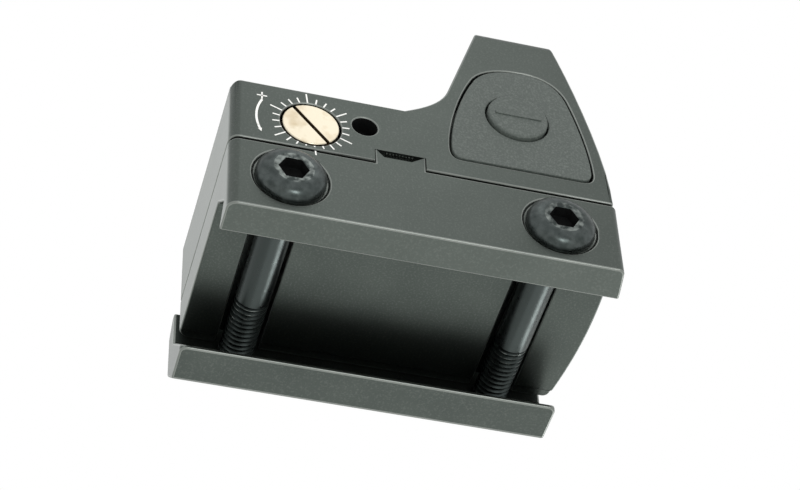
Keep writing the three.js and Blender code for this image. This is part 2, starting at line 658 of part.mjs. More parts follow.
function makeBaseSeal() {
  const tabRoom = [1, -1].map((side) => {
    const [x0, x1] = stretch(side, HALF_WIDTH - TAB_DEPTH - SEAL_INSET, 2 * HALF_WIDTH);
    return box(x0, x1, TAB_REAR_Y - GAP, TAB_REAR_Y + TAB_LENGTH + GAP, -1, 1);
  });
  const screwRoom = [1, -1].map((side) => {
    const hole = rod(SIGHT_SCREW_RADIUS + GAP, -1, 1);
    return hole.translate(side * SIGHT_SCREW_X, SIGHT_SCREW_Y, 0);
  });
  const sheet = raise(planOutline(SEAL_INSET), -SEAL_THICKNESS, 0, 6);
  return cut(sheet, ...tabRoom, ...screwRoom);
}

place(optic, "base_seal", makeBaseSeal(), sealRubber);

// ---- Housing -------------------------------------------------------------------------------

// Bends the front of a blank forward, most at the middle, to match the mount's bowed front.
function bowFront(geometry) {
  const position = geometry.getAttribute("position");
  const rise = FRONT_Y - HOUSING_FRONT_Y;
  for (let i = 0; i < position.count; i += 1) {
    const across = position.getX(i) / HALF_WIDTH;
    if (position.getY(i) > HOOD_TOP_FRONT_Y - 1) {
      position.setY(i, position.getY(i) + rise * (1 - across * across));
    }
  }
  return geometry;
}

// A rectangle in plan with equal round corners.
function roundedPlan(x0, x1, y0, y1, round) {
  const shape = new THREE.Shape();
  shape.absarc(x1 - round, y0 + round, round, -Math.PI / 2, 0);
  shape.absarc(x1 - round, y1 - round, round, 0, Math.PI / 2);
  shape.absarc(x0 + round, y1 - round, round, Math.PI / 2, Math.PI);
  shape.absarc(x0 + round, y0 + round, round, Math.PI, 1.5 * Math.PI);
  return shape;
}

function housingBlank() {
  const profile = carryAcross(sideOutline(), -HALF_WIDTH, HALF_WIDTH, 9, 12);
  return common(
    bowFront(profile),
    runForward(hoodOutline(), 2 * REAR_Y, 2 * FRONT_Y),
    raise(planOutline(), -1, 2 * HOOD_HEIGHT),
  );
}

// The bay, less the two screw pillars and the boss that backs the windage pocket.
function bayHollow() {
  const plan = roundedPlan(-BAY_HALF, BAY_HALF, BAY_REAR_Y, BAY_FRONT_Y, BAY_CORNER);
  const front = box(-HALF_WIDTH, HALF_WIDTH, BAY_STEP_Y, FRONT_Y, -2, HOOD_HEIGHT);
  const low = raise(plan, -1, BAY_HEIGHT_REAR, 5);
  const high = common(raise(plan, -1, BAY_HEIGHT_FRONT, 5), front);
  const kept = [];
  for (const side of [1, -1]) {
    const x = side * SIGHT_SCREW_X;
    const [x0, x1] = stretch(side, SIGHT_SCREW_X, BAY_HALF + 1);
    const [y0, y1] = [SIGHT_SCREW_Y - PILLAR_RADIUS, SIGHT_SCREW_Y + PILLAR_RADIUS];
    kept.push(rod(PILLAR_RADIUS, 0, BAY_HEIGHT_FRONT).translate(x, SIGHT_SCREW_Y, 0));
    kept.push(box(x0, x1, y0, y1, 0, BAY_HEIGHT_FRONT));
  }
  const boss = rod(DIAL_RADIUS + DIAL_GAP + GAP, BAY_HALF - WINDAGE_BOSS, BAY_HALF + 1);
  kept.push(acrossAt(boss, ADJUSTER_Y, WINDAGE_HEIGHT));
  return cut(join(low, high), ...kept);
}

// A clearance hole and countersink for each screw that holds the housing down.
function sightScrewHoles() {
  const hole = SIGHT_SCREW_RADIUS + FREE_FIT;
  const head = SIGHT_SCREW_HEAD + FREE_FIT;
  const headTop = DECK_HEIGHT - SIGHT_SCREW_SUNK - RUNNING_FIT;
  const headBottom = headTop - (SIGHT_SCREW_HEAD - SIGHT_SCREW_RADIUS);
  return [1, -1].map((side) => {
    const tool = turned([
      [0, -1],
      [hole, -1],
      [hole, headBottom],
      [head, headTop],
      [head, HOOD_FOOT_HEIGHT],
      [0, HOOD_FOOT_HEIGHT],
    ]);
    return tool.translate(side * SIGHT_SCREW_X, SIGHT_SCREW_Y, 0);
  });
}

// A pocket for a dial whose face lies at 0, and the bore for its screw.
function adjusterPocket() {
  const bore = ADJUSTER_SHANK + SHANK_CLEARANCE;
  return turned([
    [0, -3 * DIAL_DEPTH],
    [bore, -3 * DIAL_DEPTH],
    [bore, -DIAL_DEPTH],
    [DIAL_RADIUS + DIAL_GAP, -DIAL_DEPTH],
    [DIAL_RADIUS + DIAL_GAP, DIAL_DEPTH],
    [0, DIAL_DEPTH],
  ], 36);
}

// The emitter looks out of a well in the deck, with a ledge for its window.
function emitterWell() {
  const x = WELL_HALF + WELL_LEDGE;
  const [y0, y1] = [WELL_REAR_Y - WELL_LEDGE, WELL_FRONT_Y + WELL_LEDGE];
  return [
    box(-WELL_HALF, WELL_HALF, WELL_REAR_Y, WELL_FRONT_Y, 0, DECK_HEIGHT + 1),
    box(-x, x, y0, y1, WELL_WINDOW_Z, 2 * DECK_HEIGHT),
  ];
}

function keypadPocket(side) {
  const [x0, x1] = stretch(side, HALF_WIDTH - KEYPAD_DEPTH, 2 * HALF_WIDTH);
  const [slot0, slot1] = stretch(side, BAY_HALF - 1, HALF_WIDTH - KEYPAD_DEPTH + FREE_FIT);
  const [y0, y1] = [BUTTON_Y - FLEX_HALF - GAP, BUTTON_Y + FLEX_HALF + GAP];
  return [
    carryAcross(keypadOutline(KEYPAD_GAP), x0, x1, 8),
    box(slot0, slot1, y0, y1, FLEX_TAIL_Z - GAP, FLEX_TAIL_Z + FLEX_THICKNESS + GAP),
  ];
}

function tabNotch(side) {
  const [x0, x1] = stretch(side, HALF_WIDTH - TAB_DEPTH - GAP, 2 * HALF_WIDTH);
  const [y0, y1] = [TAB_REAR_Y - RUNNING_FIT, TAB_REAR_Y + TAB_LENGTH + RUNNING_FIT];
  return box(x0, x1, y0, y1, -1, NOTCH_HEIGHT);
}

function makeHousing() {
  const windowOpening = runForward(roundedWindow(0), 2 * REAR_Y, 2 * FRONT_Y);
  const lensPocket = runForward(roundedWindow(LENS_OVERLAP + LENS_BEAD), 0, FRONT_Y);
  const guideHole = rod(GUIDE_HOLE_RADIUS, HALF_WIDTH - GUIDE_HOLE_DEPTH, 2 * HALF_WIDTH);
  return cut(
    housingBlank(),
    bayHollow(),
    windowOpening.translate(0, 0, LENS_CENTRE_HEIGHT),
    atLens(lensPocket),
    ...sightScrewHoles(),
    asWindage(adjusterPocket()),
    asElevation(adjusterPocket()),
    acrossAt(guideHole, GUIDE_HOLE_Y, GUIDE_HOLE_HEIGHT),
    ...emitterWell(),
    ...keypadPocket(1),
    ...keypadPocket(-1),
    tabNotch(1),
    tabNotch(-1),
  );
}

place(optic, "housing", makeHousing(), anodised);

// ---- Lens ----------------------------------------------------------------------------------

function makeLens() {
  return atLens(runForward(roundedWindow(LENS_OVERLAP), RUNNING_FIT, LENS_THICKNESS, 8));
}

function makeLensBead() {
  const bead = LENS_OVERLAP + LENS_BEAD - TOUCH;
  const outer = runForward(roundedWindow(bead), RUNNING_FIT, LENS_THICKNESS - LENS_BEAD, 8);
  const inner = runForward(roundedWindow(LENS_OVERLAP + TOUCH), -1, 2 * LENS_THICKNESS, 8);
  return atLens(cut(outer, inner));
}

place(optic, "lens", makeLens(), coatedGlass);
place(optic, "lens_seal", makeLensBead(), sealRubber);

// ---- Screws that hold the housing down -----------------------------------------------------

function makeSightScrew() {
  const top = DECK_HEIGHT - SIGHT_SCREW_SUNK;
  const cone = SIGHT_SCREW_HEAD - SIGHT_SCREW_RADIUS;
  const tip = -SEAL_THICKNESS - SIGHT_SCREW_GRIP;
  const body = turned([
    [0, tip],
    [SIGHT_SCREW_RADIUS, tip],
    [SIGHT_SCREW_RADIUS, top - cone],
    [SIGHT_SCREW_HEAD, top],
    [0, top],
  ]);
  return cut(body, rod(SIGHT_SCREW_HEX / 2, top - SIGHT_SCREW_HEX_DEPTH, top + 1, 6));
}

for (const [side, sign] of [["right", 1], ["left", -1]]) {
  const screw = place(optic, `sight_screw_${side}`, makeSightScrew(), blackSteel);
  screw.position.set(sign * SIGHT_SCREW_X, SIGHT_SCREW_Y, 0);
}

// ---- Adjusters -----------------------------------------------------------------------------

// A dial and its screw along Z, the dial's face at 0.
function makeAdjuster(shankEnd) {
  const neckEnd = -DIAL_THICKNESS - 2 * O_RING_TUBE - FREE_FIT;
  const flangeEnd = -DIAL_DEPTH + FREE_FIT;
  const body = turned([
    [0, -shankEnd],
    [ADJUSTER_SHANK, -shankEnd],
    [ADJUSTER_SHANK, flangeEnd],
    [DIAL_RADIUS, flangeEnd],
    [DIAL_RADIUS, neckEnd],
    [DIAL_NECK, neckEnd],
    [DIAL_NECK, -DIAL_THICKNESS],
    [DIAL_RADIUS, -DIAL_THICKNESS],
    [DIAL_RADIUS, -DIAL_BEVEL],
    [DIAL_RADIUS - DIAL_BEVEL, 0],
    [0, 0],
  ], 36);
  const half = DIAL_SLOT_WIDTH / 2;
  const slot = box(-2 * DIAL_RADIUS, 2 * DIAL_RADIUS, -half, half, -DIAL_SLOT_DEPTH, 1);
  return cut(body, slot);
}

function makeORing() {
  const ring = new THREE.TorusGeometry(DIAL_NECK + O_RING_TUBE + RUNNING_FIT, O_RING_TUBE, 6, 24);
  return ring.translate(0, 0, -DIAL_THICKNESS - O_RING_TUBE - RUNNING_FIT);
}

// A retaining clip round the shank, with its mouth, its upper face at a depth below the dial.
function makeClip(depth) {
  const inner = ADJUSTER_SHANK + RUNNING_FIT;
  const [bottom, top] = [-depth - CLIP_THICKNESS, -depth];
  const ring = turned([
    [inner, bottom],
    [CLIP_RADIUS, bottom],
    [CLIP_RADIUS, top],
    [inner, top],
    [inner, bottom],
  ]);
  const half = CLIP_MOUTH / 2;
  return cut(ring, box(0, 2 * CLIP_RADIUS, -half, half, bottom - 1, top + 1));
}

const windageClipDepth = WALL + WINDAGE_BOSS + FREE_FIT;
const elevationClipDepth = DECK_HEIGHT - BAY_HEIGHT_REAR + FREE_FIT;
const windageDial = makeAdjuster(HALF_WIDTH - SLIDE_BOSS_START - GAP);
windageDial.rotateZ(DIAL_SLOT_ANGLE + Math.PI / 2); // seen from the side it runs down to the front
const elevationDial = makeAdjuster(DECK_HEIGHT - SHANK_END).rotateZ(DIAL_SLOT_ANGLE);

place(optic, "windage_adjuster", asWindage(windageDial), nickelBrass);
place(optic, "elevation_adjuster", asElevation(elevationDial), nickelBrass);
place(optic, "windage_o_ring", asWindage(makeORing()), sealRubber);
place(optic, "elevation_o_ring", asElevation(makeORing()), sealRubber);
place(optic, "windage_clip", asWindage(makeClip(windageClipDepth)), steel);
place(optic, "elevation_clip", asElevation(makeClip(elevationClipDepth)), steel);

// ---- Emitter, its slides and springs -------------------------------------------------------

// The plate that closes the rear of the bay and carries the slide.
function makeSlideFrame() {
  return box(-FRAME_HALF, FRAME_HALF, BAY_REAR_Y + GAP, FRAME_FRONT_Y, 0, FRAME_PLATE);
}

function makeWindageSlide() {
  const [y0, y1] = [ADJUSTER_Y - SLIDE_BOSS_HALF, ADJUSTER_Y + SLIDE_BOSS_HALF];
  const bossTop = WINDAGE_HEIGHT + ADJUSTER_SHANK + GAP;
  const lugTop = SLIDE_TOP + SLIDE_LUG_HEIGHT;
  const bore = rod(ADJUSTER_SHANK + RUNNING_FIT, 0, HALF_WIDTH);
  const body = join(
    box(-SLIDE_HALF, SLIDE_HALF, SLIDE_REAR_Y, SLIDE_FRONT_Y, SLIDE_Z, SLIDE_TOP),
    box(SLIDE_BOSS_START, SLIDE_BOSS_END - TRAVEL, y0, y1, SLIDE_Z, bossTop),
    box(-SLIDE_HALF, -SLIDE_HALF + SLIDE_LUG, y0, y1, SLIDE_Z, lugTop),
  );
  return cut(body, acrossAt(bore, ADJUSTER_Y, WINDAGE_HEIGHT));
}

// The carriage holds the nut in a slot across it, and the emitter on a sloping seat in front.
function makeCarriage() {
  const wide = 2 * CARRIAGE_HALF;
  const nutEdge = NUT_HALF + GAP;
  const shankEdge = ADJUSTER_SHANK + GAP;
  const nutSlot = box(
    -wide, wide,
    ADJUSTER_Y - nutEdge, ADJUSTER_Y + nutEdge,
    NUT_Z - FREE_FIT, NUT_Z + NUT_THICKNESS + FREE_FIT,
  );
  const shankSlot = box(
    -shankEdge - TRAVEL, shankEdge + TRAVEL,
    ADJUSTER_Y - shankEdge, ADJUSTER_Y + shankEdge,
    CARRIAGE_Z - 1, CARRIAGE_TOP + 1,
  );
  const seatRadius = SPRING_RADIUS + SPRING_WIRE + FREE_FIT;
  const springSeat = rod(seatRadius, CARRIAGE_Z - 1, CARRIAGE_Z + SPRING_SEAT, 16);
  const slope = box(-wide, wide, -wide, wide, 0, wide).rotateX(-LED_TILT);
  const front = box(-wide, wide, LED_Y - LED_DOME, 0, CARRIAGE_Z, 2 * CARRIAGE_TOP);
  return cut(
    box(-CARRIAGE_HALF, CARRIAGE_HALF, CARRIAGE_REAR_Y, CARRIAGE_FRONT_Y, CARRIAGE_Z, CARRIAGE_TOP),
    nutSlot,
    shankSlot,
    springSeat.translate(0, SPRING_Y, 0),
    common(slope.translate(0, LED_Y, CARRIAGE_TOP - LED_SEAT_DROP), front),
  );
}

function makeLed() {
  const body = box(-LED_HALF, LED_HALF, -LED_HALF, LED_HALF, 0, LED_THICKNESS);
  const dome = new THREE.SphereGeometry(LED_DOME, 16, 10).translate(0, 0, LED_THICKNESS);
  const whole = join(body, dome).rotateX(-LED_TILT);
  const seat = CARRIAGE_TOP - LED_SEAT_DROP - LED_SUNK;
  return whole.translate(0, LED_Y + LED_HALF - FREE_FIT, seat);
}

function makeNut() {
  const [y0, y1] = [ADJUSTER_Y - NUT_HALF, ADJUSTER_Y + NUT_HALF];
  const block = box(-NUT_HALF, NUT_HALF, y0, y1, NUT_Z, NUT_Z + NUT_THICKNESS);
  const bore = rod(ADJUSTER_SHANK + RUNNING_FIT, 0, HOOD_HEIGHT);
  return cut(block, bore.translate(0, ADJUSTER_Y, 0));
}

// Stands on the slide and reaches up into its seat in the carriage.
function makeCarriageSpring() {
  const foot = SLIDE_TOP + TOUCH;
  const length = CARRIAGE_Z + SPRING_SEAT - RUNNING_FIT - foot;
  return coil(SPRING_RADIUS, SPRING_WIRE, length, CARRIAGE_SPRING_TURNS).translate(0, SPRING_Y, foot);
}

// Pushes the slide towards the windage dial from the far side of the bay.
function makeWindageSpring() {
  const length = BAY_HALF - SLIDE_HALF - TRAVEL - 2 * FREE_FIT;
  const spring = coil(SPRING_RADIUS, SPRING_WIRE, length, WINDAGE_SPRING_TURNS);
  spring.translate(0, 0, -BAY_HALF + RUNNING_FIT);
  return acrossAt(spring, ADJUSTER_Y, SLIDE_TOP + SPRING_RADIUS + FREE_FIT);
}

function makeEmitterWindow() {
  const edge = WELL_LEDGE - RUNNING_FIT;
  const x = WELL_HALF + edge;
  const [y0, y1] = [WELL_REAR_Y - edge, WELL_FRONT_Y + edge];
  return box(-x, x, y0, y1, WELL_WINDOW_Z, WELL_WINDOW_Z + WELL_WINDOW_THICKNESS);
}

place(optic, "slide_frame", makeSlideFrame(), steel);
place(optic, "windage_slide", makeWindageSlide(), nickelBrass);
place(optic, "emitter_carriage", makeCarriage(), chipBlack);
place(optic, "elevation_nut", makeNut(), steel);
place(optic, "led_emitter", makeLed(), ledResin);
place(optic, "carriage_spring", makeCarriageSpring(), steel);
place(optic, "windage_spring", makeWindageSpring(), steel);
place(optic, "emitter_window", makeEmitterWindow(), coatedGlass);

// ---- Keypads and their switches ------------------------------------------------------------

function makeKeypad() {
  const pad = carryAcross(keypadOutline(0), KEYPAD_BACK_X, HALF_WIDTH + KEYPAD_PROUD, 8);
  const hole = rod(BUTTON_RADIUS + BUTTON_GAP, KEYPAD_BACK_X - 1, 2 * HALF_WIDTH, 36);
  return cut(pad, acrossAt(hole, BUTTON_Y, BUTTON_HEIGHT));
}

function makeButton() {
  const top = HALF_WIDTH + KEYPAD_PROUD + BUTTON_PROUD;
  const nubTip = FLEX_X + FLEX_THICKNESS + DOME_RISE + BUTTON_TRAVEL + RUNNING_FIT;
  const back = nubTip + BUTTON_NUB_HEIGHT;
  const ease = 0.3 * BUTTON_ROUND;
  const cap = turned([
    [0, nubTip],
    [BUTTON_NUB, nubTip],
    [BUTTON_NUB, back],
    [BUTTON_RADIUS, back],
    [BUTTON_RADIUS, top - BUTTON_ROUND],
    [BUTTON_RADIUS - ease, top - ease],
    [BUTTON_RADIUS - BUTTON_ROUND, top],
    [0, top],
  ], 36);
  return acrossAt(cap, BUTTON_Y, BUTTON_HEIGHT);
}

// A sprung steel dome that clicks flat when the button is pressed.
function makeSnapDome() {
  const profile = [[0, 0], [DOME_RADIUS, 0]];
  const rise = DOME_RISE - FREE_FIT;
  const steps = 4;
  for (let i = 1; i < steps; i += 1) {
    const angle = (i / steps) * (Math.PI / 2);
    profile.push([DOME_RADIUS * Math.cos(angle), FREE_FIT + rise * Math.sin(angle)]);
  }
  profile.push([0, DOME_RISE]);
  const dome = turned(profile, 20).translate(0, 0, FLEX_X + FLEX_THICKNESS);
  return acrossAt(dome, BUTTON_Y, BUTTON_HEIGHT);
}

// The flexible circuit behind the pad, with a tail through the wall to the board.
function makeFlex() {
  const [y0, y1] = [BUTTON_Y - FLEX_HALF, BUTTON_Y + FLEX_HALF];
  const face = FLEX_X + FLEX_THICKNESS;
  const top = BUTTON_HEIGHT + DOME_RADIUS + FLEX_MARGIN;
  const sheet = box(FLEX_X, face, y0, y1, FLEX_TAIL_Z, top);
  const tailEnd = BOARD_HALF - FLEX_TAIL_LAP;
  const tail = box(tailEnd, face, y0, y1, FLEX_TAIL_Z, FLEX_TAIL_Z + FLEX_THICKNESS);
  return join(sheet, tail);
}

const sidePieces = [
  ["keypad", makeKeypad(), rubber],
  ["button", makeButton(), rubber],
  ["snap_dome", makeSnapDome(), steel],
  ["keypad_flex", makeFlex(), polyimide],
];
for (const [name, geometry, material] of sidePieces) {
  place(optic, `${name}_right`, geometry, material);
  place(optic, `${name}_left`, mirrored(geometry), material);
}

// ---- Cell and electronics ------------------------------------------------------------------

// A coin cell: a can that is its positive pole, and a smaller cap on top for the negative.
function makeCell() {
  const step = CELL_TOP - CELL_CAP_STEP;
  const cell = turned([
    [0, CELL_LIFT],
    [CELL_RADIUS - CELL_EDGE, CELL_LIFT],
    [CELL_RADIUS, CELL_LIFT + CELL_EDGE],
    [CELL_RADIUS, step],
    [CELL_RADIUS - CELL_CAP_INSET + CELL_EDGE, step + RUNNING_FIT],
    [CELL_RADIUS - CELL_CAP_INSET, CELL_TOP],
    [0, CELL_TOP],
  ], 40);
  return cell.translate(0, CELL_Y, 0);
}

// A strip of spring brass between the board and the cell's middle.
function makeNegativeContact() {
  const t = CONTACT_THICKNESS;
  const top = BOARD_HEIGHT - TOUCH;
  const low = CELL_TOP + TOUCH;
  const strip = polygon([
    [CELL_Y - 4.0, top],
    [CELL_Y - 4.0, top - t],
    [CELL_Y - 1.2, top - t],
    [CELL_Y + 1.5, low],
    [CELL_Y + 3.0, low],
    [CELL_Y + 3.0, low + t],
    [CELL_Y + 1.6, low + t],
    [CELL_Y - 1.0, top],
  ]);
  return carryAcross(strip, -CONTACT_NEGATIVE_HALF, CONTACT_NEGATIVE_HALF);
}

// A tab from the board down past the cell's rim.
function makePositiveContact() {
  const half = CONTACT_POSITIVE_HALF;
  const y0 = CELL_Y + CELL_RADIUS + RUNNING_FIT;
  const y1 = y0 + CONTACT_THICKNESS;
  const top = BOARD_HEIGHT - TOUCH;
  const tab = box(-half, half, y0, y1, CELL_LIFT + 2 * CELL_EDGE, top);
  const foot = box(-half, half, BOARD_FRONT_Y - half, y1, top - CONTACT_THICKNESS, top);
  return join(tab, foot);
}

function makeBoard() {
  return box(-BOARD_HALF, BOARD_HALF, BOARD_REAR_Y, BOARD_FRONT_Y, BOARD_HEIGHT, BOARD_TOP);
}

function makeChip() {
  const [y0, y1] = [CELL_Y - CHIP_HALF, CELL_Y + CHIP_HALF];
  return box(-CHIP_HALF, CHIP_HALF, y0, y1, BOARD_TOP, BOARD_TOP + CHIP_THICKNESS);
}

place(optic, "battery", makeCell(), steel);
place(optic, "battery_contact_negative", makeNegativeContact(), gold);
place(optic, "battery_contact_positive", makePositiveContact(), gold);
place(optic, "circuit_board", makeBoard(), boardGreen);
place(optic, "controller_chip", makeChip(), chipBlack);

export default sight;
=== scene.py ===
import json
from math import cos, hypot, pi, radians, sin, tau

import bpy
from mathutils import Matrix, Vector

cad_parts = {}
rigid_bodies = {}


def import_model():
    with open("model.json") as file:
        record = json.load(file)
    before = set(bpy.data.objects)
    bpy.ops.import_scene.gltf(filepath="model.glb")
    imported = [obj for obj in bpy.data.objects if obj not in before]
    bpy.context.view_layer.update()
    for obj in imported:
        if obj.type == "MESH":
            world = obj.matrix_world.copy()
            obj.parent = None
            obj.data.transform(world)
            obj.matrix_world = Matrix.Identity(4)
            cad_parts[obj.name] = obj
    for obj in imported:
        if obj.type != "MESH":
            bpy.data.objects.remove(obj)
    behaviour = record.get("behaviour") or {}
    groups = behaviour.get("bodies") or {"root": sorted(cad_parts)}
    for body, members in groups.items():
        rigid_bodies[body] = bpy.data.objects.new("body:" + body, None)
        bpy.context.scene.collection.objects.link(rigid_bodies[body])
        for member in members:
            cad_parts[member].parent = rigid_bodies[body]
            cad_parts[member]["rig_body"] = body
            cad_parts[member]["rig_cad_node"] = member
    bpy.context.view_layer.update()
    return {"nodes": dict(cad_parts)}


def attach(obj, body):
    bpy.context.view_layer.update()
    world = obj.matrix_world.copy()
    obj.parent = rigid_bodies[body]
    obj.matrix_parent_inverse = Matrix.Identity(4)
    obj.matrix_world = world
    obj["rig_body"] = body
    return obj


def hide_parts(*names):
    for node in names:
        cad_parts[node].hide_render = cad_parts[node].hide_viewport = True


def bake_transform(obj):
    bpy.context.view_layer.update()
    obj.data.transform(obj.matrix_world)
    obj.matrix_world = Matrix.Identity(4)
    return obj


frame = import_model()


# ---- Studio --------------------------------------------------------------------------------
# The sight hangs free over a pale floor, seen from its right side and from below. A white
# room lights it softly from all round, and five softboxes give the steel its bright spots.

MM = 0.001
CAMERA_PLACE = Vector((181.7, -55.9, -196.2)) * MM
CAMERA_AIM = Vector((0.0, 0.84, 7.09)) * MM
CAMERA_ROLL = radians(-2.8)
CAMERA_LENS = 110.96
FLOOR_Z = -400 * MM
FLOOR_COLOUR = "#f4f4f2"


def linear(colour):
    """An sRGB hex colour as the linear values that a shader takes."""
    parts = [int(colour[i : i + 2], 16) / 255 for i in (1, 3, 5)]
    return [p / 12.92 if p <= 0.04045 else ((p + 0.055) / 1.055) ** 2.4 for p in parts] + [1]


def add(material, kind, sockets, **settings):
    """Adds one shader node. A socket given an output is linked to it, any other gets a value."""
    node = material.node_tree.nodes.new("ShaderNode" + kind)
    for name, value in settings.items():
        setattr(node, name, value)
    for name, value in sockets.items():
        if isinstance(value, bpy.types.NodeSocket):
            material.node_tree.links.new(value, node.inputs[name])
        else:
            node.inputs[name].default_value = value
    return node


def new_finish(name, colour, metallic, roughness, **more):
    """A material with its main shader's values set, its pattern coordinates, and that shader."""
    material = bpy.data.materials.new(name)
    material.use_nodes = True
    shader = material.node_tree.nodes["Principled BSDF"]
    values = {"Base Color": linear(colour), "Metallic": metallic, "Roughness": roughness}
    values.update({socket.replace("_", " "): value for socket, value in more.items()})
    for socket, value in values.items():
        shader.inputs[socket].default_value = value
    place = add(material, "TexCoord", {}).outputs["Object"]
    return material, place, shader


camera = bpy.data.objects.new("camera", bpy.data.cameras.new("camera"))
bpy.context.collection.objects.link(camera)
camera.data.sensor_width = 36
camera.data.lens = CAMERA_LENS
camera.data.clip_start, camera.data.clip_end = 0.01, 20
camera.location = CAMERA_PLACE
camera.rotation_mode = "QUATERNION"
level = (CAMERA_AIM - CAMERA_PLACE).to_track_quat("-Z", "Y")
camera.rotation_quaternion = level @ Matrix.Rotation(CAMERA_ROLL, 3, "Z").to_quaternion()
bpy.context.scene.camera = camera

world = bpy.data.worlds.new("white room")
world.use_nodes = True
world.node_tree.nodes["Background"].inputs["Color"].default_value = (1, 1, 1, 1)
world.node_tree.nodes["Background"].inputs["Strength"].default_value = 1.0
bpy.context.scene.world = world
bpy.context.scene.view_settings.view_transform = "Standard"


def softbox(name, direction, distance, size, brightness):
    """A square lamp that looks at the sight. Its brightness is in times the white room's."""
    lamp = bpy.data.objects.new(name, bpy.data.lights.new(name, "AREA"))
    bpy.context.collection.objects.link(lamp)
    lamp.data.size = size * MM
    lamp.data.energy = brightness * pi * (size * MM) ** 2
    towards = Vector(direction).normalized()
    lamp.location = towards * distance * MM
    lamp.rotation_mode = "QUATERNION"
    lamp.rotation_quaternion = (-towards).to_track_quat("-Z", "Y")
    lamp.visible_camera = False


softbox("front softbox", (0.83, 0.20, -0.50), 420, 90, 16.0)
softbox("low softbox", (-0.66, 0.69, -0.37), 450, 140, 7.0)
softbox("floor softbox", (-0.66, 0.20, -0.72), 420, 300, 0.5)
softbox("rear softbox", (-0.66, -0.55, 0.76), 600, 300, 1.0)
softbox("side softbox", (0.66, 0.10, 0.74), 110, 45, 0.7)

bpy.ops.object.select_all(action="DESELECT")
bpy.ops.mesh.primitive_plane_add(size=6, location=(0, 0, FLOOR_Z))
floor = bpy.context.object
floor.name = "floor"
painted_floor, place, shader = new_finish("floor matt paint", FLOOR_COLOUR, 0.0, 0.9)
floor.data.materials.append(painted_floor)


# ---- Mount ---------------------------------------------------------------------------------
# The base is milled from aluminium bar, bead blasted and anodised dark grey. Its right-hand
# jaw and the seat for the rail are one piece with the plate that the housing is bolted on.

MOUNT_EDGE = 0.22
TAB = (-2.75, 6.0, 3.5, 1.25)
CHANNEL_BOTTOM, CHANNEL_TOP, CHANNEL_SIDE = -0.1, 2.5, 7.9
FACES_DOWN = -0.9
MERGE, SLIVER, FLAT_ANGLE = 0.004, 0.003, radians(0.6)
SMOOTH_ANGLE = radians(28)
BODY_COLOUR = "#4e5450"
BODY_COLOUR_LIGHT = "#565c58"
BARE_SPECK_AND_HIGHLIGHT_COLOUR = "#8d918d"


def choose(piece):
    """Makes one object the only one selected, and the active one."""
    bpy.ops.object.select_all(action="DESELECT")
    bpy.context.view_layer.objects.active = piece
    piece.select_set(True)


def soften(piece, edge, edge_finish=-1, corner=35, crisp=()):
    """Rounds the edges that are sharper than a corner in degrees, and smooths the shading. An
    edge stays as cut if it lies wholly in a crisp place, seen from the side: one is given by
    the y and z of its middle and its half sizes along both."""
    choose(piece)
    if edge:
        bpy.ops.object.mode_set(mode="EDIT")
        bpy.ops.mesh.select_mode(type="EDGE")
        bpy.ops.mesh.select_all(action="DESELECT")
        bpy.ops.mesh.edges_select_sharp(sharpness=radians(corner))
        bpy.ops.object.mode_set(mode="OBJECT")
        weights = piece.data.attributes.new("bevel_weight_edge", "FLOAT", "EDGE")
        points = piece.data.vertices
        for line in piece.data.edges:
            start, end = (points[i].co / MM for i in line.vertices)
            as_cut = any(
                all(abs(at.y - y) < half_y and abs(at.z - z) < half_z for at in (start, end))
                for y, z, half_y, half_z in crisp
            )
            weights.data[line.index].value = float(line.select and not as_cut)
        rounding = piece.modifiers.new("rounding", "BEVEL")
        rounding.width = edge * MM
        rounding.segments = 3
        rounding.limit_method = "WEIGHT"
        rounding.use_clamp_overlap = False
        rounding.material = edge_finish
        bpy.ops.object.modifier_apply(modifier="rounding")
    bpy.ops.object.shade_smooth_by_angle(angle=SMOOTH_ANGLE)
    if edge:
        shading = piece.modifiers.new("shading", "WEIGHTED_NORMAL")
        shading.keep_sharp = True
        bpy.ops.object.modifier_apply(modifier="shading")


def take(node, name, *finishes):
    """A copy of a solid from the frame, its triangles merged into whole faces."""
    piece = frame["nodes"][node].copy()
    piece.data = piece.data.copy()
    piece.name = piece.data.name = name
    piece.parent = None
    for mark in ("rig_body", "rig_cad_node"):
        del piece[mark]
    bpy.context.collection.objects.link(piece)
    piece.data.materials.clear()
    for finish in finishes:
        piece.data.materials.append(finish)
    choose(piece)
    bpy.ops.object.mode_set(mode="EDIT")
    bpy.ops.mesh.select_all(action="SELECT")
    bpy.ops.mesh.remove_doubles(threshold=MERGE * MM)
    bpy.ops.mesh.dissolve_degenerate(threshold=SLIVER * MM)
    bpy.ops.mesh.dissolve_limited(angle_limit=FLAT_ANGLE)
    bpy.ops.object.mode_set(mode="OBJECT")
    return piece


def fit(piece, body, slot, *nodes):
    """Puts a finished piece on its body and hides the solids that it stands for. The slot is not
    used.
    """
    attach(piece, body)
    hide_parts(*nodes)


def drive(material, shader, socket, output):
    """Lets a node's output set one of the shader's sockets."""
    material.node_tree.links.new(output, shader.inputs[socket])


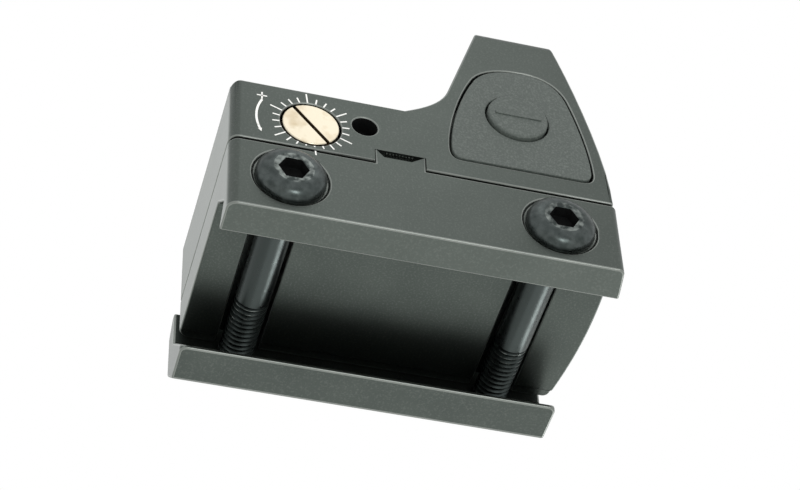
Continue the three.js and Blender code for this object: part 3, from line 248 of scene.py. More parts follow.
def anodise(name, colour, colour_light, roughness):
    """Blasted and dyed aluminium. The blasting leaves a fine even grain, about 0.1 mm in the
    metal and drawn at 0.25 mm, and the dye is slightly cloudy over a few millimetres."""
    material, place, shader = new_finish(name, colour, 1.0, roughness)
    cloud = add(material, "TexNoise", {"Vector": place, "Scale": 170.0, "Detail": 3.0})
    grain = add(material, "TexNoise", {"Vector": place, "Scale": 4200.0, "Detail": 2.0})
    cloudy = add(
        material,
        "Mix",
        {0: cloud.outputs["Fac"], 6: linear(colour), 7: linear(colour_light)},
        data_type="RGBA",
    )
    speck = add(
        material,
        "MapRange",
        {"Value": grain.outputs["Fac"], "From Min": 0.5, "From Max": 0.8, "To Max": 0.16},
    )
    speckled = add(
        material,
        "Mix",
        {0: speck.outputs["Result"], 6: cloudy.outputs[2], 7: linear(BARE_SPECK_AND_HIGHLIGHT_COLOUR)},
        data_type="RGBA",
    )
    drive(material, shader, "Base Color", speckled.outputs[2])
    blast = add(
        material,
        "Bump",
        {"Strength": 0.25, "Distance": 0.02 * MM, "Height": grain.outputs["Fac"]},
    )
    drive(material, shader, "Normal", blast.outputs["Normal"])
    return material


# Anodised aluminium reads as a dark satin metal: grey where it mirrors the room, black where
# it mirrors itself. Its edges are paler: dye thinned by handling, and painted highlight.
anodised = anodise("anodised aluminium, bead blasted", BODY_COLOUR, BODY_COLOUR_LIGHT, 0.40)
worn_and_highlit_edge = anodise("anodised aluminium, worn edge and painted highlight", "#6f7470", BARE_SPECK_AND_HIGHLIGHT_COLOUR, 0.42)

# The seat between the jaws is given a darker colour than the outside: painted shade.
channel_painted_shade = anodise("anodised aluminium, rail seat in painted shade", "#3f4542", BODY_COLOUR, 0.38)

mount = take("mount_base", "mount_base_milled", anodised, worn_and_highlit_edge, channel_painted_shade)
# The rounded edges take the paler finish: worn edge and painted highlight.
soften(mount, MOUNT_EDGE, edge_finish=1, crisp=(TAB,))
# Downward faces inside the rail channel take the darker finish: painted shade.
for face in mount.data.polygons:
    at = face.center / MM
    in_channel = CHANNEL_BOTTOM < at.z < CHANNEL_TOP and at.x < CHANNEL_SIDE
    if face.normal.z < FACES_DOWN and in_channel:
        face.material_index = 2
fit(mount, "sight", "body_anodised", "mount_base")


# ---- Clamp bar -----------------------------------------------------------------------------
# The left-hand jaw is a separate bar of the same anodised aluminium, coloured darker than the
# mount as painted shade. The two cross screws draw it in, and its inner lip, in the paler edge
# finish of wear and painted highlight, shows as a thin bright line.

BAR_SHADED_COLOUR = "#414744"
BAR_EDGE = 0.25
SCREW_Y, SCREW_Z = 15.015, -0.2
SCREW_HOLE = 2.2

# A darker colour than the mount's: painted shade.
bar_anodised_painted_shade = anodise("anodised aluminium, clamp bar in painted shade", BAR_SHADED_COLOUR, BODY_COLOUR, 0.38)
bar = take("clamp_bar", "clamp_bar_milled", bar_anodised_painted_shade, worn_and_highlit_edge)
hole_mouths = [(end * SCREW_Y, SCREW_Z, SCREW_HOLE, SCREW_HOLE) for end in (1, -1)]
soften(bar, BAR_EDGE, edge_finish=1, crisp=hole_mouths)
fit(bar, "clamp", "body_anodised", "clamp_bar")


# ---- Cross screws --------------------------------------------------------------------------
# Two M4 button-head screws of blackened steel clamp the bar. Each has a rolled thread of
# 0.7 mm pitch at its far end, a plain shank and a hexagon socket.

THREAD_PITCH = 0.7
THREAD_TURNS = 18
THREAD_START_X = -5.2
THREAD_TIP_X = -17.12
THREAD_CREST, THREAD_ROOT, CREST_BAND = 1.99, 1.58, 0.05
ROOT_END, CREST_START, CREST_END, ROOT_START = 0.09, 0.31, 0.40, 0.62
THREAD_STEPS = 48
BLANK_END_X = THREAD_START_X + 0.35
THREAD_END_X = THREAD_START_X + 0.4
HEAD_TOP_X, SOCKET_FLOOR_X = 14.75, 12.9
SOCKET_RADIUS, SOCKET_RIM_RADIUS, SHANK_ZONE = 1.72, 1.9, 2.1
SOCKET_MOUTH_DEPTH, SOCKET_RIM_DEPTH = 0.16, 0.12
SCREW_EDGE, FACES_OUT = 0.1, 0.97
WELD = 0.002

# Black oxide on steel: a thin blue-black skin, unevenly worn, that stays shiny in places.
blackened, place, shader = new_finish("blackened steel", "#484e4d", 1.0, 0.36)
smudge = add(blackened, "TexNoise", {"Vector": place, "Scale": 700.0, "Detail": 4.0})
sheen = add(
    blackened,
    "MapRange",
    {
        "Value": smudge.outputs["Fac"],
        "From Min": 0.3,
        "From Max": 0.7,
        "To Min": 0.22,
        "To Max": 0.42,
    },
)
drive(blackened, shader, "Roughness", sheen.outputs["Result"])
stain = add(blackened, "TexNoise", {"Vector": place, "Scale": 1100.0, "Detail": 3.0})
stain_fade = add(
    blackened, "MapRange", {"Value": stain.outputs["Fac"], "From Min": 0.35, "From Max": 0.65}
)
stained = add(
    blackened,
    "Mix",
    {0: stain_fade.outputs["Result"], 6: linear("#3d4342"), 7: linear("#505655")},
    data_type="RGBA",
)
drive(blackened, shader, "Base Color", stained.outputs[2])

# The same skin, paler in patches: partly worn through to bare steel, partly painted highlight.
worn_and_highlit_steel, place, shader = new_finish("blackened steel, worn edge and painted highlight", "#6b706e", 1.0, 0.30)
rub = add(worn_and_highlit_steel, "TexNoise", {"Vector": place, "Scale": 1100.0, "Detail": 3.0})
rub_fade = add(
    worn_and_highlit_steel, "MapRange", {"Value": rub.outputs["Fac"], "From Min": 0.38, "From Max": 0.62}
)
rub_colour = add(
    worn_and_highlit_steel,
    "Mix",
    {0: rub_fade.outputs["Result"], 6: linear("#333938"), 7: linear("#7d8380")},
    data_type="RGBA",
)
drive(worn_and_highlit_steel, shader, "Base Color", rub_colour.outputs[2])

# The rolled thread and the plain shank are as dark as the head and more evenly polished.
rolled_steel, place, shader = new_finish("blackened steel, rolled", "#3d4342", 1.0, 0.30)
drag = add(rolled_steel, "TexNoise", {"Vector": place, "Scale": 1200.0, "Detail": 4.0})
dragged = add(
    rolled_steel, "MapRange", {"Value": drag.outputs["Fac"], "To Min": 0.2, "To Max": 0.4}
)
drive(rolled_steel, shader, "Roughness", dragged.outputs["Result"])

# Deep sockets and holes are painted black and dull: painted shade.
hole_painted_shade, place, shader = new_finish(
    "painted shade in a hole, black", "#0b0c0c", 0.0, 0.9, Specular_IOR_Level=0.1
)
hole_noise = add(hole_painted_shade, "TexNoise", {"Vector": place, "Scale": 1500.0, "Detail": 2.0})
hole_shade_colour = add(
    hole_painted_shade,
    "Mix",
    {0: hole_noise.outputs["Fac"], 6: linear("#060707"), 7: linear("#141515")},
    data_type="RGBA",
)
drive(hole_painted_shade, shader, "Base Color", hole_shade_colour.outputs[2])


def paint_inside(piece, slot_index, axis, middle, radius, depth_range):
    """Gives another finish to the faces of a hole: those within a radius of its axis, and
    between two depths along it."""
    for face in piece.data.polygons:
        across = face.center / MM - middle
        along = across[axis]
        across[axis] = 0
        if across.length < radius and depth_range[0] < along < depth_range[1]:
            face.material_index = slot_index


def join_to(piece, extra):
    """Joins another mesh to a piece, which keeps its own name and finishes first."""
    choose(piece)
    extra.select_set(True)
    bpy.ops.object.join()


for end, label in ((1, "front"), (-1, "rear")):
    # The turned blank: the frame's screw without its threaded end.
    blank = take("cross_screw_" + label, "blank", blackened, worn_and_highlit_steel)
    bpy.ops.object.mode_set(mode="EDIT")
    bpy.ops.mesh.select_all(action="SELECT")
    bpy.ops.mesh.bisect(
        plane_co=(BLANK_END_X * MM, 0, 0),
        plane_no=(1, 0, 0),
        use_fill=True,
        clear_inner=True,
    )
    bpy.ops.object.mode_set(mode="OBJECT")
    # The rounded edges take the paler finish: wear and painted highlight.
    soften(blank, SCREW_EDGE, edge_finish=1, corner=40)
    blank.data.materials.append(hole_painted_shade)
    blank.data.materials.append(rolled_steel)
    screw_axis = Vector((0, end * SCREW_Y, SCREW_Z))
    socket_depths = (SOCKET_FLOOR_X, HEAD_TOP_X - SOCKET_MOUTH_DEPTH)
    # The hexagon socket is painted black: painted shade.
    paint_inside(blank, 2, 0, screw_axis, SOCKET_RADIUS, socket_depths)
    paint_inside(blank, 3, 0, screw_axis, SHANK_ZONE, (THREAD_TIP_X, SOCKET_FLOOR_X))

    # The flat ring round the socket takes the paler finish: key wear and painted highlight.
    for face in blank.data.polygons:
        away = face.center / MM - screw_axis
        on_top = face.normal.x > FACES_OUT and away.x > HEAD_TOP_X - SOCKET_RIM_DEPTH
        if on_top and hypot(away.y, away.z) < SOCKET_RIM_RADIUS:
            face.material_index = 1

    # The thread: one pitch of its outline, wound round the axis, then cut off square.
    bpy.ops.object.select_all(action="DESELECT")
    bpy.ops.mesh.primitive_plane_add(size=MM)
    thread = bpy.context.object
    thread.data.clear_geometry()
    outline = (
        (0.0, THREAD_ROOT),
        (ROOT_END, THREAD_ROOT),
        (CREST_START, THREAD_CREST),
        (CREST_END, THREAD_CREST),
        (ROOT_START, THREAD_ROOT),
        (THREAD_PITCH, THREAD_ROOT),
    )
    corners = [Vector((along, 0, radius)) * MM for along, radius in outline]
    thread.data.from_pydata(corners, [(i, i + 1) for i in range(len(corners) - 1)], [])
    thread.data.materials.append(rolled_steel)
    choose(thread)
    winding = thread.modifiers.new("winding", "SCREW")
    winding.axis = "X"
    winding.steps = winding.render_steps = THREAD_STEPS
    winding.iterations = THREAD_TURNS + 1
    winding.screw_offset = THREAD_PITCH * MM
    winding.use_merge_vertices = True
    winding.merge_threshold = WELD * MM
    winding.use_normal_calculate = True
    bpy.ops.object.modifier_apply(modifier="winding")
    bpy.ops.object.mode_set(mode="EDIT")
    bpy.ops.mesh.select_all(action="SELECT")
    bpy.ops.transform.translate(value=((THREAD_TIP_X - THREAD_PITCH) * MM, 0, SCREW_Z * MM))
    bpy.ops.mesh.remove_doubles(threshold=WELD * MM)
    for cut_x, keep in ((THREAD_TIP_X, 1), (THREAD_END_X, -1)):
        bpy.ops.mesh.select_all(action="SELECT")
        bpy.ops.mesh.bisect(
            plane_co=(cut_x * MM, 0, 0), plane_no=(-keep, 0, 0), use_fill=True, clear_outer=True
        )
    bpy.ops.mesh.select_all(action="SELECT")
    bpy.ops.transform.translate(value=(0, end * SCREW_Y * MM, 0))
    bpy.ops.mesh.normals_make_consistent(inside=False)
    bpy.ops.object.mode_set(mode="OBJECT")
    bpy.ops.object.shade_smooth_by_angle(angle=SMOOTH_ANGLE)

    # Its crests take the paler finish as painted highlight.
    thread.data.materials.append(worn_and_highlit_steel)
    for face in thread.data.polygons:
        away = face.center / MM - screw_axis
        face.material_index = int(hypot(away.y, away.z) > THREAD_CREST - CREST_BAND)

    join_to(blank, thread)
    blank.name = f"cross_screw_{label}_m4"
    fit(blank, label + "_cross_screw", "screw_black_steel", "cross_screw_" + label)


# ---- Base seal -----------------------------------------------------------------------------
# A thin flat gasket of black rubber keeps water out of the battery bay, pressed between the
# mount and the housing.

# Nitrile rubber: nearly black and dull, with a fine moulded grain of about 0.3 mm.
rubber, place, shader = new_finish("nitrile rubber, black", "#161616", 0.0, 0.75)
skin = add(rubber, "TexNoise", {"Vector": place, "Scale": 3300.0, "Detail": 2.0})
pores = add(
    rubber, "Bump", {"Strength": 0.2, "Distance": 0.02 * MM, "Height": skin.outputs["Fac"]}
)
drive(rubber, shader, "Normal", pores.outputs["Normal"])

gasket = take("base_seal", "base_seal_gasket", rubber)
soften(gasket, 0.04)
fit(gasket, "sight", "seal_rubber", "base_seal")


# ---- Housing -------------------------------------------------------------------------------
# The housing is a single aluminium forging, milled, blasted and anodised like the mount. It
# has the deck with both dials, the hood round the lens and a pocket for each keypad.

HOUSING_EDGE = 0.18
GUIDE_HOLE, GUIDE_HOLE_ZONE, GUIDE_HOLE_DEPTHS = Vector((0, -6.67, 10.45)), 1.47, (11, 13.2)
NOTCH_ROOF_Z = 6.95
RIB_COUNT, RIB_PITCH, RIB_START_Y, RIB_X = 9, 0.36, -4.2, 12.82
RIB_LENGTH, RIB_WIDTH, RIB_CREST_WIDTH, RIB_RISE, RIB_ROOT = 0.36, 0.16, 0.08, 0.14, 0.01

housing = take("housing", "housing_milled", anodised, worn_and_highlit_edge, hole_painted_shade)
# The rounded edges take the paler finish: worn edge and painted highlight.
soften(housing, HOUSING_EDGE, edge_finish=1, crisp=(TAB,))
# The guide hole in the side is painted black: painted shade.
paint_inside(housing, 2, 0, GUIDE_HOLE, GUIDE_HOLE_ZONE, GUIDE_HOLE_DEPTHS)

# Fine milled ribs on the roof of each notch, where the mount's tab leaves a gap. They take
# the paler edge finish: painted highlight.
for way in (1, -1):
    for rib in range(RIB_COUNT):
        foot = Vector((way * RIB_X, RIB_START_Y + rib * RIB_PITCH, NOTCH_ROOF_Z + RIB_ROOT))
        bpy.ops.object.select_all(action="DESELECT")
        bpy.ops.mesh.primitive_plane_add(size=MM, location=foot * MM)
        ridge = bpy.context.object
        ridge.data.materials.append(worn_and_highlit_edge)
        bpy.ops.object.transform_apply(location=True, rotation=True, scale=True)
        bpy.ops.object.mode_set(mode="EDIT")
        bpy.ops.mesh.select_all(action="SELECT")
        bpy.ops.transform.resize(value=(RIB_LENGTH, RIB_WIDTH, 1))
        bpy.ops.mesh.extrude_region_move(
            TRANSFORM_OT_translate={"value": (0, 0, -(RIB_RISE + RIB_ROOT) * MM)}
        )
        bpy.ops.transform.resize(value=(1, RIB_CREST_WIDTH / RIB_WIDTH, 1))
        bpy.ops.mesh.select_all(action="SELECT")
        bpy.ops.mesh.normals_make_consistent(inside=False)
        bpy.ops.object.mode_set(mode="OBJECT")
        join_to(housing, ridge)
fit(housing, "sight", "body_anodised", "housing")


# ---- Lens ----------------------------------------------------------------------------------
# A tilted plate of optical glass with round corners, coated to throw the red dot back to the
# eye, sits in a bead of black sealant.

# Coated optical glass: clear, with a faint amber cast from the coating on its rear face.
coated_glass, place, shader = new_finish(
    "optical glass, dichroic coating", "#f6e7cf", 0.0, 0.02, Transmission_Weight=1.0, IOR=1.52
)
shader.inputs["Thin Film Thickness"].default_value = 290.0  # nanometres
shader.inputs["Thin Film IOR"].default_value = 1.6
haze = add(coated_glass, "TexNoise", {"Vector": place, "Scale": 90.0, "Detail": 1.0})
tint = add(
    coated_glass,
    "Mix",
    {0: haze.outputs["Fac"], 6: linear("#f7ead6"), 7: linear("#f3e2c6")},
    data_type="RGBA",
)
drive(coated_glass, shader, "Base Color", tint.outputs[2])
lens = take("lens", "lens_glass", coated_glass)
soften(lens, 0.12)
fit(lens, "sight", "coated_glass", "lens")

bead = take("lens_seal", "lens_sealant_bead", rubber)
soften(bead, 0.05)
fit(bead, "sight", "seal_rubber", "lens_seal")


# ---- Sight screws --------------------------------------------------------------------------
# Two small socket screws go down through the deck into the mount and hold the sight
# together. They are blackened steel like the cross screws.

for side in ("right", "left"):
    screw = take("sight_screw_" + side, f"sight_screw_{side}_steel", blackened, worn_and_highlit_steel)
    # The rounded edges take the paler finish: wear and painted highlight.
    soften(screw, 0.06, edge_finish=1, corner=40)
    fit(screw, "sight", "screw_black_steel", "sight_screw_" + side)


# ---- Adjuster dials ------------------------------------------------------------------------
# Two nickel-plated brass dials with a coin slot move the red dot, one on the right side and
# one on the deck. Each seals with a rubber ring and is held by a spring clip inside.

HOUSING_SIDE_X, DECK_TOP_Z = 13.3, 14.5
DIAL_Y, WINDAGE_DIAL_Z = -12.78, 9.1
SLOT_DEPTH, DIAL_FACE_SKIN, DIAL_RADIUS = 0.8, 0.03, 3.05
DIALS = (
    ("windage", "windage_dial", Vector((HOUSING_SIDE_X, DIAL_Y, WINDAGE_DIAL_Z))),
    ("elevation", "elevation_dial", Vector((0, DIAL_Y, DECK_TOP_Z))),
)

# Spring steel, tumbled bright, for the clips and springs.
spring_steel, place, shader = new_finish("spring steel, bright", "#b9bbbd", 1.0, 0.28)
scuff = add(spring_steel, "TexNoise", {"Vector": place, "Scale": 1500.0, "Detail": 2.0})
dull = add(
    spring_steel, "MapRange", {"Value": scuff.outputs["Fac"], "To Min": 0.22, "To Max": 0.36}
)
drive(spring_steel, shader, "Roughness", dull.outputs["Result"])

# The slot's walls and floor are painted dark brown: painted shade, with some tarnish.
slot_shade_and_tarnish, place, shader = new_finish("nickel plate, slot in painted shade with tarnish", "#3a3024", 0.6, 0.5)
slot_noise = add(slot_shade_and_tarnish, "TexNoise", {"Vector": place, "Scale": 900.0, "Detail": 2.0})
slot_shade_colour = add(
    slot_shade_and_tarnish,
    "Mix",
    {0: slot_noise.outputs["Fac"], 6: linear("#1d1812"), 7: linear("#6b5636")},
    data_type="RGBA",
)
drive(slot_shade_and_tarnish, shader, "Base Color", slot_shade_colour.outputs[2])

for name, body, middle in DIALS:
    # Nickel plate on faced brass: pale and warm, with turning rings 0.12 mm apart, and light
    # brown spots of tarnish about 2 mm wide.
    plated, place, shader = new_finish(f"nickel plate, {name} dial", "#d3cab6", 1.0, 0.34)
    centred = add(
        plated, "Mapping", {"Vector": place, "Location": -middle * MM}, vector_type="POINT"
    )
    rings = add(
        plated,
        "TexWave",
        {"Vector": centred.outputs["Vector"], "Scale": 2600.0, "Distortion": 0.4},
        wave_type="RINGS",
        rings_direction="X" if name == "windage" else "Z",
    )
    turned = add(
        plated, "Bump", {"Strength": 0.12, "Distance": 0.01 * MM, "Height": rings.outputs["Fac"]}
    )
    drive(plated, shader, "Normal", turned.outputs["Normal"])
    spots = add(plated, "TexNoise", {"Vector": place, "Scale": 500.0, "Detail": 3.0})
    tarnish = add(
        plated, "MapRange", {"Value": spots.outputs["Fac"], "From Min": 0.5, "From Max": 0.85}
    )
    brown = add(
        plated,
        "Mix",
        {0: tarnish.outputs["Result"], 6: linear("#dbd2bd"), 7: linear("#b6a484")},
        data_type="RGBA",
    )
    drive(plated, shader, "Base Color", brown.outputs[2])
    dial = take(name + "_adjuster", name + "_adjuster_dial", plated, slot_shade_and_tarnish)
    soften(dial, 0.05)
    # Faces down in the slot take the dark finish: painted shade.
    for face in dial.data.polygons:
        away = face.center / MM - middle
        height = away.x if name == "windage" else away.z
        if -SLOT_DEPTH < height < -DIAL_FACE_SKIN and away.length < DIAL_RADIUS:
            face.material_index = 1
    fit(dial, body, "dial_nickel", name + "_adjuster")

    ring = take(name + "_o_ring", name + "_o_ring_rubber", rubber)
    soften(ring, 0)
    fit(ring, "sight", "seal_rubber", name + "_o_ring")
    clip = take(name + "_clip", name + "_clip_steel", spring_steel)
    soften(clip, 0.04)
    fit(clip, body, "plain_steel", name + "_clip")


# ---- Dial scales ---------------------------------------------------------------------------
# Each dial has 24 ticks filled with white paint round it, every fourth one longer, and a
# curved arrow with a plus sign for the way that its adjustment grows.

TICK_START, TICK_SHORT_END, TICK_LONG_END = 3.55, 4.35, 5.0
TICK_COUNT, LONG_TICK_COUNT, TICK_WIDTH = 24, 6, 0.17
FIRST_TICK, FIRST_LONG_TICK = radians(6), radians(36)
PAINT_THICKNESS = 0.02
ARROW_RADIUS, ARROW_START, ARROW_END = 6.1, radians(154), radians(201)
ARROW_WIDTH, ARROW_STEPS = 0.26, 16
ARROW_HEAD_RADIUS, ARROW_HEAD_LEAD, ARROW_HEAD_SQUEEZE = 0.34, 0.03, 0.8
PLUS_ARM, PLUS_PLACE = 1.15, (-5.5, 3.35)
SEAM_TOP, SEAM_BOTTOM = 5.4, 4.75

# Filled enamel paint: white, a little thin and broken over the blasted metal.
enamel, place, shader = new_finish("enamel paint, white", "#f2f2ee", 0.0, 0.5)
wear = add(enamel, "TexNoise", {"Vector": place, "Scale": 2600.0, "Detail": 2.0})
thin = add(enamel, "MapRange", {"Value": wear.outputs["Fac"], "From Min": 0.6, "From Max": 0.9})
faded = add(
    enamel,
    "Mix",
    {0: thin.outputs["Result"], 6: linear("#f4f4f0"), 7: linear("#a9aaa6")},
    data_type="RGBA",
)
drive(enamel, shader, "Base Color", faded.outputs[2])

for name, body, middle in DIALS:
    bpy.ops.object.select_all(action="DESELECT")
    bpy.ops.mesh.primitive_plane_add(size=MM)
    scale = bpy.context.object
    scale.name = name + "_scale_paint"
    scale.data.materials.append(enamel)
    bpy.ops.object.mode_set(mode="EDIT")
    bpy.ops.mesh.select_all(action="SELECT")
    bpy.ops.mesh.delete(type="VERT")

    for start, end, first, count in (
        (TICK_START, TICK_SHORT_END, FIRST_TICK, TICK_COUNT),
        (TICK_SHORT_END, TICK_LONG_END, FIRST_LONG_TICK, LONG_TICK_COUNT),
    ):
        bpy.ops.mesh.select_all(action="DESELECT")
        bpy.ops.mesh.primitive_plane_add(size=MM)
        bpy.ops.transform.resize(value=(end - start, TICK_WIDTH, 1))
        bpy.ops.transform.translate(value=((start + end) / 2 * MM, 0, 0))
        bpy.ops.transform.rotate(value=-first, orient_axis="Z", center_override=(0, 0, 0))
        bpy.ops.mesh.spin(steps=count, angle=tau, center=(0, 0, 0), axis=(0, 0, 1), dupli=True)
    bpy.ops.mesh.select_all(action="SELECT")
    bpy.ops.mesh.remove_doubles(threshold=0.01 * MM)

    # The arrow's curved stroke is a short edge spun round the dial; its head is a triangle.
    bpy.ops.mesh.select_all(action="DESELECT")
    bpy.ops.mesh.primitive_plane_add(size=MM)
    bpy.ops.transform.resize(value=(ARROW_WIDTH, 0, 1))
    bpy.ops.mesh.remove_doubles(threshold=0.01 * MM, use_unselected=False)
    bpy.ops.transform.translate(value=(ARROW_RADIUS * MM, 0, 0))
    bpy.ops.transform.rotate(value=-ARROW_START, orient_axis="Z", center_override=(0, 0, 0))
    bpy.ops.mesh.spin(
        steps=ARROW_STEPS,
        angle=ARROW_START - ARROW_END,
        center=(0, 0, 0),
        axis=(0, 0, 1),
        dupli=False,
    )
    bpy.ops.mesh.select_all(action="DESELECT")
    bpy.ops.mesh.primitive_circle_add(
        vertices=3, radius=ARROW_HEAD_RADIUS * MM, fill_type="NGON"
    )
    bpy.ops.transform.resize(value=(ARROW_HEAD_SQUEEZE, 1, 1))
    bpy.ops.transform.rotate(value=-ARROW_END, orient_axis="Z", center_override=(0, 0, 0))
    head_angle = ARROW_END + ARROW_HEAD_LEAD
    head_place = Vector((cos(head_angle), sin(head_angle), 0)) * ARROW_RADIUS * MM
    bpy.ops.transform.translate(value=head_place)
    for arm in ((PLUS_ARM, TICK_WIDTH), (TICK_WIDTH, PLUS_ARM)):
        bpy.ops.mesh.select_all(action="DESELECT")
        bpy.ops.mesh.primitive_plane_add(size=MM)
        bpy.ops.transform.resize(value=(*arm, 1))
        bpy.ops.transform.translate(value=(PLUS_PLACE[0] * MM, PLUS_PLACE[1] * MM, 0))
    bpy.ops.object.mode_set(mode="OBJECT")

    # Laid flat so far; the windage scale is stood up on the housing's side, and what would
    # cross the seam between housing and mount is left out.
    if name == "windage":
        scale.data.transform(Matrix(((0, 0, 1, 0), (1, 0, 0, 0), (0, 1, 0, 0), (0, 0, 0, 1))))
    scale.data.transform(Matrix.Translation(middle * MM))
    bpy.ops.object.mode_set(mode="EDIT")
    if name == "windage":
        for height in (SEAM_TOP, SEAM_BOTTOM):
            bpy.ops.mesh.select_all(action="SELECT")
            bpy.ops.mesh.bisect(plane_co=(0, 0, height * MM), plane_no=(0, 0, 1))
        bpy.ops.object.mode_set(mode="OBJECT")
        for face in scale.data.polygons:
            face.select = SEAM_BOTTOM < face.center.z / MM < SEAM_TOP
        bpy.ops.object.mode_set(mode="EDIT")
        bpy.ops.mesh.select_mode(type="FACE")
        bpy.ops.mesh.delete(type="FACE")
    bpy.ops.mesh.select_all(action="SELECT")
    outward = Vector((1, 0, 0)) if name == "windage" else Vector((0, 0, 1))
    bpy.ops.mesh.normals_make_consistent(inside=False)
    bpy.ops.mesh.extrude_region_move(
        TRANSFORM_OT_translate={"value": outward * PAINT_THICKNESS * MM}
    )
    bpy.ops.mesh.select_all(action="SELECT")
    bpy.ops.mesh.normals_make_consistent(inside=False)
    bpy.ops.object.mode_set(mode="OBJECT")
    fit(scale, "sight", "body_anodised")


# ---- Emitter slides ------------------------------------------------------------------------
# Inside the deck a brass slide moves across on a steel plate, and a moulded carriage with the
# red emitter moves up and down on the slide. A coil spring takes up the play of each.

# Free-cutting brass, milled: yellow, with fine cutter marks.
brass, place, shader = new_finish("brass, milled", "#c9a860", 1.0, 0.30)
marks = add(brass, "TexNoise", {"Vector": place, "Scale": 1800.0, "Detail": 2.0})
cut = add(brass, "MapRange", {"Value": marks.outputs["Fac"], "To Min": 0.24, "To Max": 0.40})
drive(brass, shader, "Roughness", cut.outputs["Result"])

# Acetal: black, dense and slightly waxy from the mould.
acetal, place, shader = new_finish("acetal, moulded black", "#1d1e1f", 0.0, 0.42)
flow = add(acetal, "TexNoise", {"Vector": place, "Scale": 900.0, "Detail": 2.0})
wax = add(acetal, "MapRange", {"Value": flow.outputs["Fac"], "To Min": 0.36, "To Max": 0.50})
drive(acetal, shader, "Roughness", wax.outputs["Result"])

# Clear red epoxy round the emitter's chip, and clear polycarbonate for the window over it.
resin, place, shader = new_finish(
    "epoxy resin, clear red", "#e0301c", 0.0, 0.08, Transmission_Weight=0.7, IOR=1.54
)
depth = add(resin, "TexNoise", {"Vector": place, "Scale": 1500.0, "Detail": 1.0})
red = add(
    resin,
    "Mix",
    {0: depth.outputs["Fac"], 6: linear("#e8361f"), 7: linear("#c92315")},
    data_type="RGBA",
)
drive(resin, shader, "Base Color", red.outputs[2])
window_plastic, place, shader = new_finish(
    "polycarbonate, clear", "#f2f4f4", 0.0, 0.05, Transmission_Weight=1.0, IOR=1.58
)
ripple = add(window_plastic, "TexNoise", {"Vector": place, "Scale": 350.0, "Detail": 1.0})
polish = add(
    window_plastic, "MapRange", {"Value": ripple.outputs["Fac"], "To Min": 0.02, "To Max": 0.08}
)
drive(window_plastic, shader, "Roughness", polish.outputs["Result"])

for node, name, body, slot, finish, edge in (
    ("slide_frame", "slide_frame_plate", "sight", "plain_steel", spring_steel, 0.05),
    ("windage_slide", "windage_slide_brass", "windage_slider", "slide_brass", brass, 0.08),
    ("elevation_nut", "elevation_nut_brass", "elevation_nut_block", "slide_brass", brass, 0.08),
    ("emitter_carriage", "emitter_carriage_moulded", "emitter_carrier", "carriage_plastic",
     acetal, 0.1),
    ("led_emitter", "led_emitter_resin", "emitter_carrier", "led_resin", resin, 0.04),
    ("windage_spring", "windage_spring_wire", "sight", "plain_steel", spring_steel, 0),
    ("emitter_window", "emitter_window_clear", "sight", "clear_window", window_plastic, 0.06),
):
    piece = take(node, name, finish)
    soften(piece, edge)
    fit(piece, body, slot, node)

# The carriage's spring stands on the slide and is pressed by the carriage. It is put on no body,
# so it stays where it is.
coil = take("carriage_spring", "carriage_spring_wire", spring_steel)
soften(coil, 0)
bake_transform(coil)
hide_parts("carriage_spring")


# ---- Keypads -------------------------------------------------------------------------------
# A moulded silicone pad fills a pocket on each side of the hood. Its round button carries a
# raised minus sign on the right and a plus sign on the left.

SIGN_LENGTH, SIGN_WIDTH, SIGN_RISE, SIGN_ROOT = 5.4, 0.5, 0.16, 0.05
BUTTON_FACE_X, BUTTON_Y, BUTTON_Z = 13.9, 11.25, 16.6
PAD_EDGE, SIGN_EDGE = 0.12, 0.08

# Silicone keypad rubber: dark grey and matt, with a spark-eroded grain of about 0.25 mm that
# leaves paler specks where it catches the light.
keypad_rubber, place, shader = new_finish("silicone rubber, textured", "#49504c", 0.0, 0.60)
speck = add(keypad_rubber, "TexNoise", {"Vector": place, "Scale": 4200.0, "Detail": 2.0})
specks = add(
    keypad_rubber, "MapRange", {"Value": speck.outputs["Fac"], "From Min": 0.45, "From Max": 0.75}
)
speckled = add(
    keypad_rubber,
    "Mix",
    {0: specks.outputs["Result"], 6: linear("#484f4b"), 7: linear("#5d645f")},
    data_type="RGBA",
)
drive(keypad_rubber, shader, "Base Color", speckled.outputs[2])
eroded = add(
    keypad_rubber, "Bump", {"Strength": 0.4, "Distance": 0.04 * MM, "Height": speck.outputs["Fac"]}
)
drive(keypad_rubber, shader, "Normal", eroded.outputs["Normal"])

for side, way in (("right", 1), ("left", -1)):
    pad = take("keypad_" + side, f"keypad_{side}_rubber", keypad_rubber)
    soften(pad, PAD_EDGE)
    fit(pad, "sight", "keypad_rubber", "keypad_" + side)

    button = take("button_" + side, f"button_{side}_rubber", keypad_rubber)
    soften(button, PAD_EDGE)
    arms = [(SIGN_LENGTH, SIGN_WIDTH)]
    if side == "left":
        arms.append((SIGN_WIDTH, SIGN_LENGTH))
    for arm in arms:
        bpy.ops.object.select_all(action="DESELECT")
        bpy.ops.mesh.primitive_plane_add(size=MM, rotation=(0, way * pi / 2, 0))
        sign = bpy.context.object
        sign.data.materials.append(keypad_rubber)
        bpy.ops.object.transform_apply(location=True, rotation=True, scale=True)
        bpy.ops.object.mode_set(mode="EDIT")
        bpy.ops.mesh.select_all(action="SELECT")
        bpy.ops.transform.resize(value=(1, *arm))
        root = Vector((way * (BUTTON_FACE_X - SIGN_ROOT), BUTTON_Y, BUTTON_Z))
        bpy.ops.transform.translate(value=root * MM)
        bpy.ops.mesh.extrude_region_move(
            TRANSFORM_OT_translate={"value": (way * (SIGN_RISE + SIGN_ROOT) * MM, 0, 0)}
        )
        bpy.ops.mesh.select_all(action="SELECT")
        bpy.ops.mesh.normals_make_consistent(inside=False)
        bpy.ops.object.mode_set(mode="OBJECT")
        soften(sign, SIGN_EDGE)
        join_to(button, sign)
    fit(button, side + "_button", "keypad_rubber", "button_" + side)


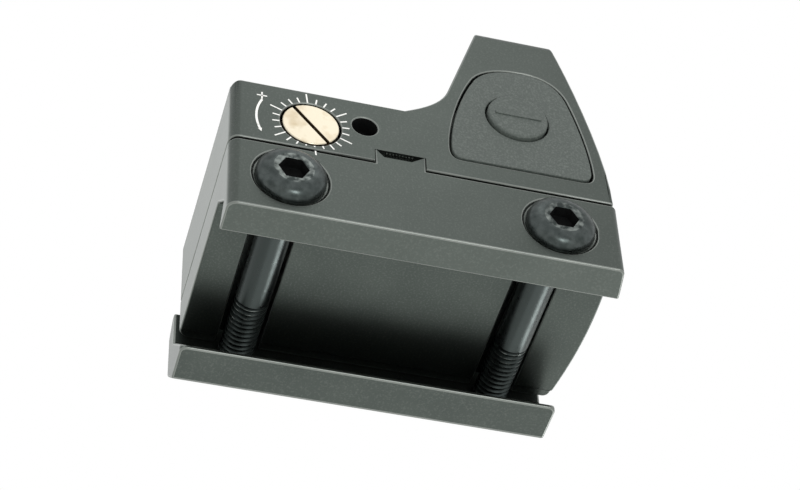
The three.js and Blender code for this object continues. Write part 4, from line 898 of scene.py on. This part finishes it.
# ---- Switches and battery ------------------------------------------------------------------
# Under each button a steel snap dome sits on a flexible circuit. A coin cell lies in the
# mount's bay between two contacts, below the circuit board.

# Polyimide film: amber and glossy over copper.
polyimide, place, shader = new_finish("polyimide film, amber", "#b4661d", 0.0, 0.25)
weave = add(polyimide, "TexNoise", {"Vector": place, "Scale": 700.0, "Detail": 1.0})
amber = add(
    polyimide,
    "Mix",
    {0: weave.outputs["Fac"], 6: linear("#bd6f22"), 7: linear("#9c5414")},
    data_type="RGBA",
)
drive(polyimide, shader, "Base Color", amber.outputs[2])

# Nickel-plated steel of the cell's can: bright, drawn, with soft wiping marks.
can_steel, place, shader = new_finish("nickel-plated steel, drawn", "#c4c5c4", 1.0, 0.22)
wipes = add(can_steel, "TexNoise", {"Vector": place, "Scale": 350.0, "Detail": 4.0})
wiped = add(can_steel, "MapRange", {"Value": wipes.outputs["Fac"], "To Min": 0.16, "To Max": 0.34})
drive(can_steel, shader, "Roughness", wiped.outputs["Result"])

# Phosphor bronze strip for the contacts.
bronze, place, shader = new_finish("phosphor bronze strip", "#c08a54", 1.0, 0.28)
rolled = add(bronze, "TexNoise", {"Vector": place, "Scale": 900.0, "Detail": 2.0})
drawn = add(bronze, "MapRange", {"Value": rolled.outputs["Fac"], "To Min": 0.22, "To Max": 0.36})
drive(bronze, shader, "Roughness", drawn.outputs["Result"])

# Glass-epoxy laminate under green solder resist, woven at about 0.5 mm.
laminate, place, shader = new_finish("glass-epoxy laminate, green", "#1f5a38", 0.0, 0.35)
cloth = add(laminate, "TexWave", {"Vector": place, "Scale": 620.0, "Distortion": 0.5})
green = add(
    laminate,
    "Mix",
    {0: cloth.outputs["Fac"], 6: linear("#1d5634"), 7: linear("#28693f")},
    data_type="RGBA",
)
drive(laminate, shader, "Base Color", green.outputs[2])

# Moulding compound of the controller: black and finely matt.
compound, place, shader = new_finish("epoxy moulding compound", "#1b1b1d", 0.0, 0.5)
filler = add(compound, "TexNoise", {"Vector": place, "Scale": 2500.0, "Detail": 2.0})
filled = add(
    compound, "Bump", {"Strength": 0.1, "Distance": 0.01 * MM, "Height": filler.outputs["Fac"]}
)
drive(compound, shader, "Normal", filled.outputs["Normal"])

for node, name, slot, finish, edge in (
    ("snap_dome_right", "snap_dome_right_steel", "plain_steel", spring_steel, 0),
    ("snap_dome_left", "snap_dome_left_steel", "plain_steel", spring_steel, 0),
    ("keypad_flex_right", "keypad_flex_right_film", "flex_polyimide", polyimide, 0.03),
    ("keypad_flex_left", "keypad_flex_left_film", "flex_polyimide", polyimide, 0.03),
    ("battery", "coin_cell", "cell_can", can_steel, 0.12),
    ("battery_contact_negative", "contact_negative_strip", "contact_brass", bronze, 0.04),
    ("battery_contact_positive", "contact_positive_strip", "contact_brass", bronze, 0.04),
    ("circuit_board", "circuit_board_laminate", "board_laminate", laminate, 0.05),
    ("controller_chip", "controller_chip_body", "chip_epoxy", compound, 0.06),
):
    piece = take(node, name, finish)
    soften(piece, edge)
    fit(piece, "sight", slot, node)
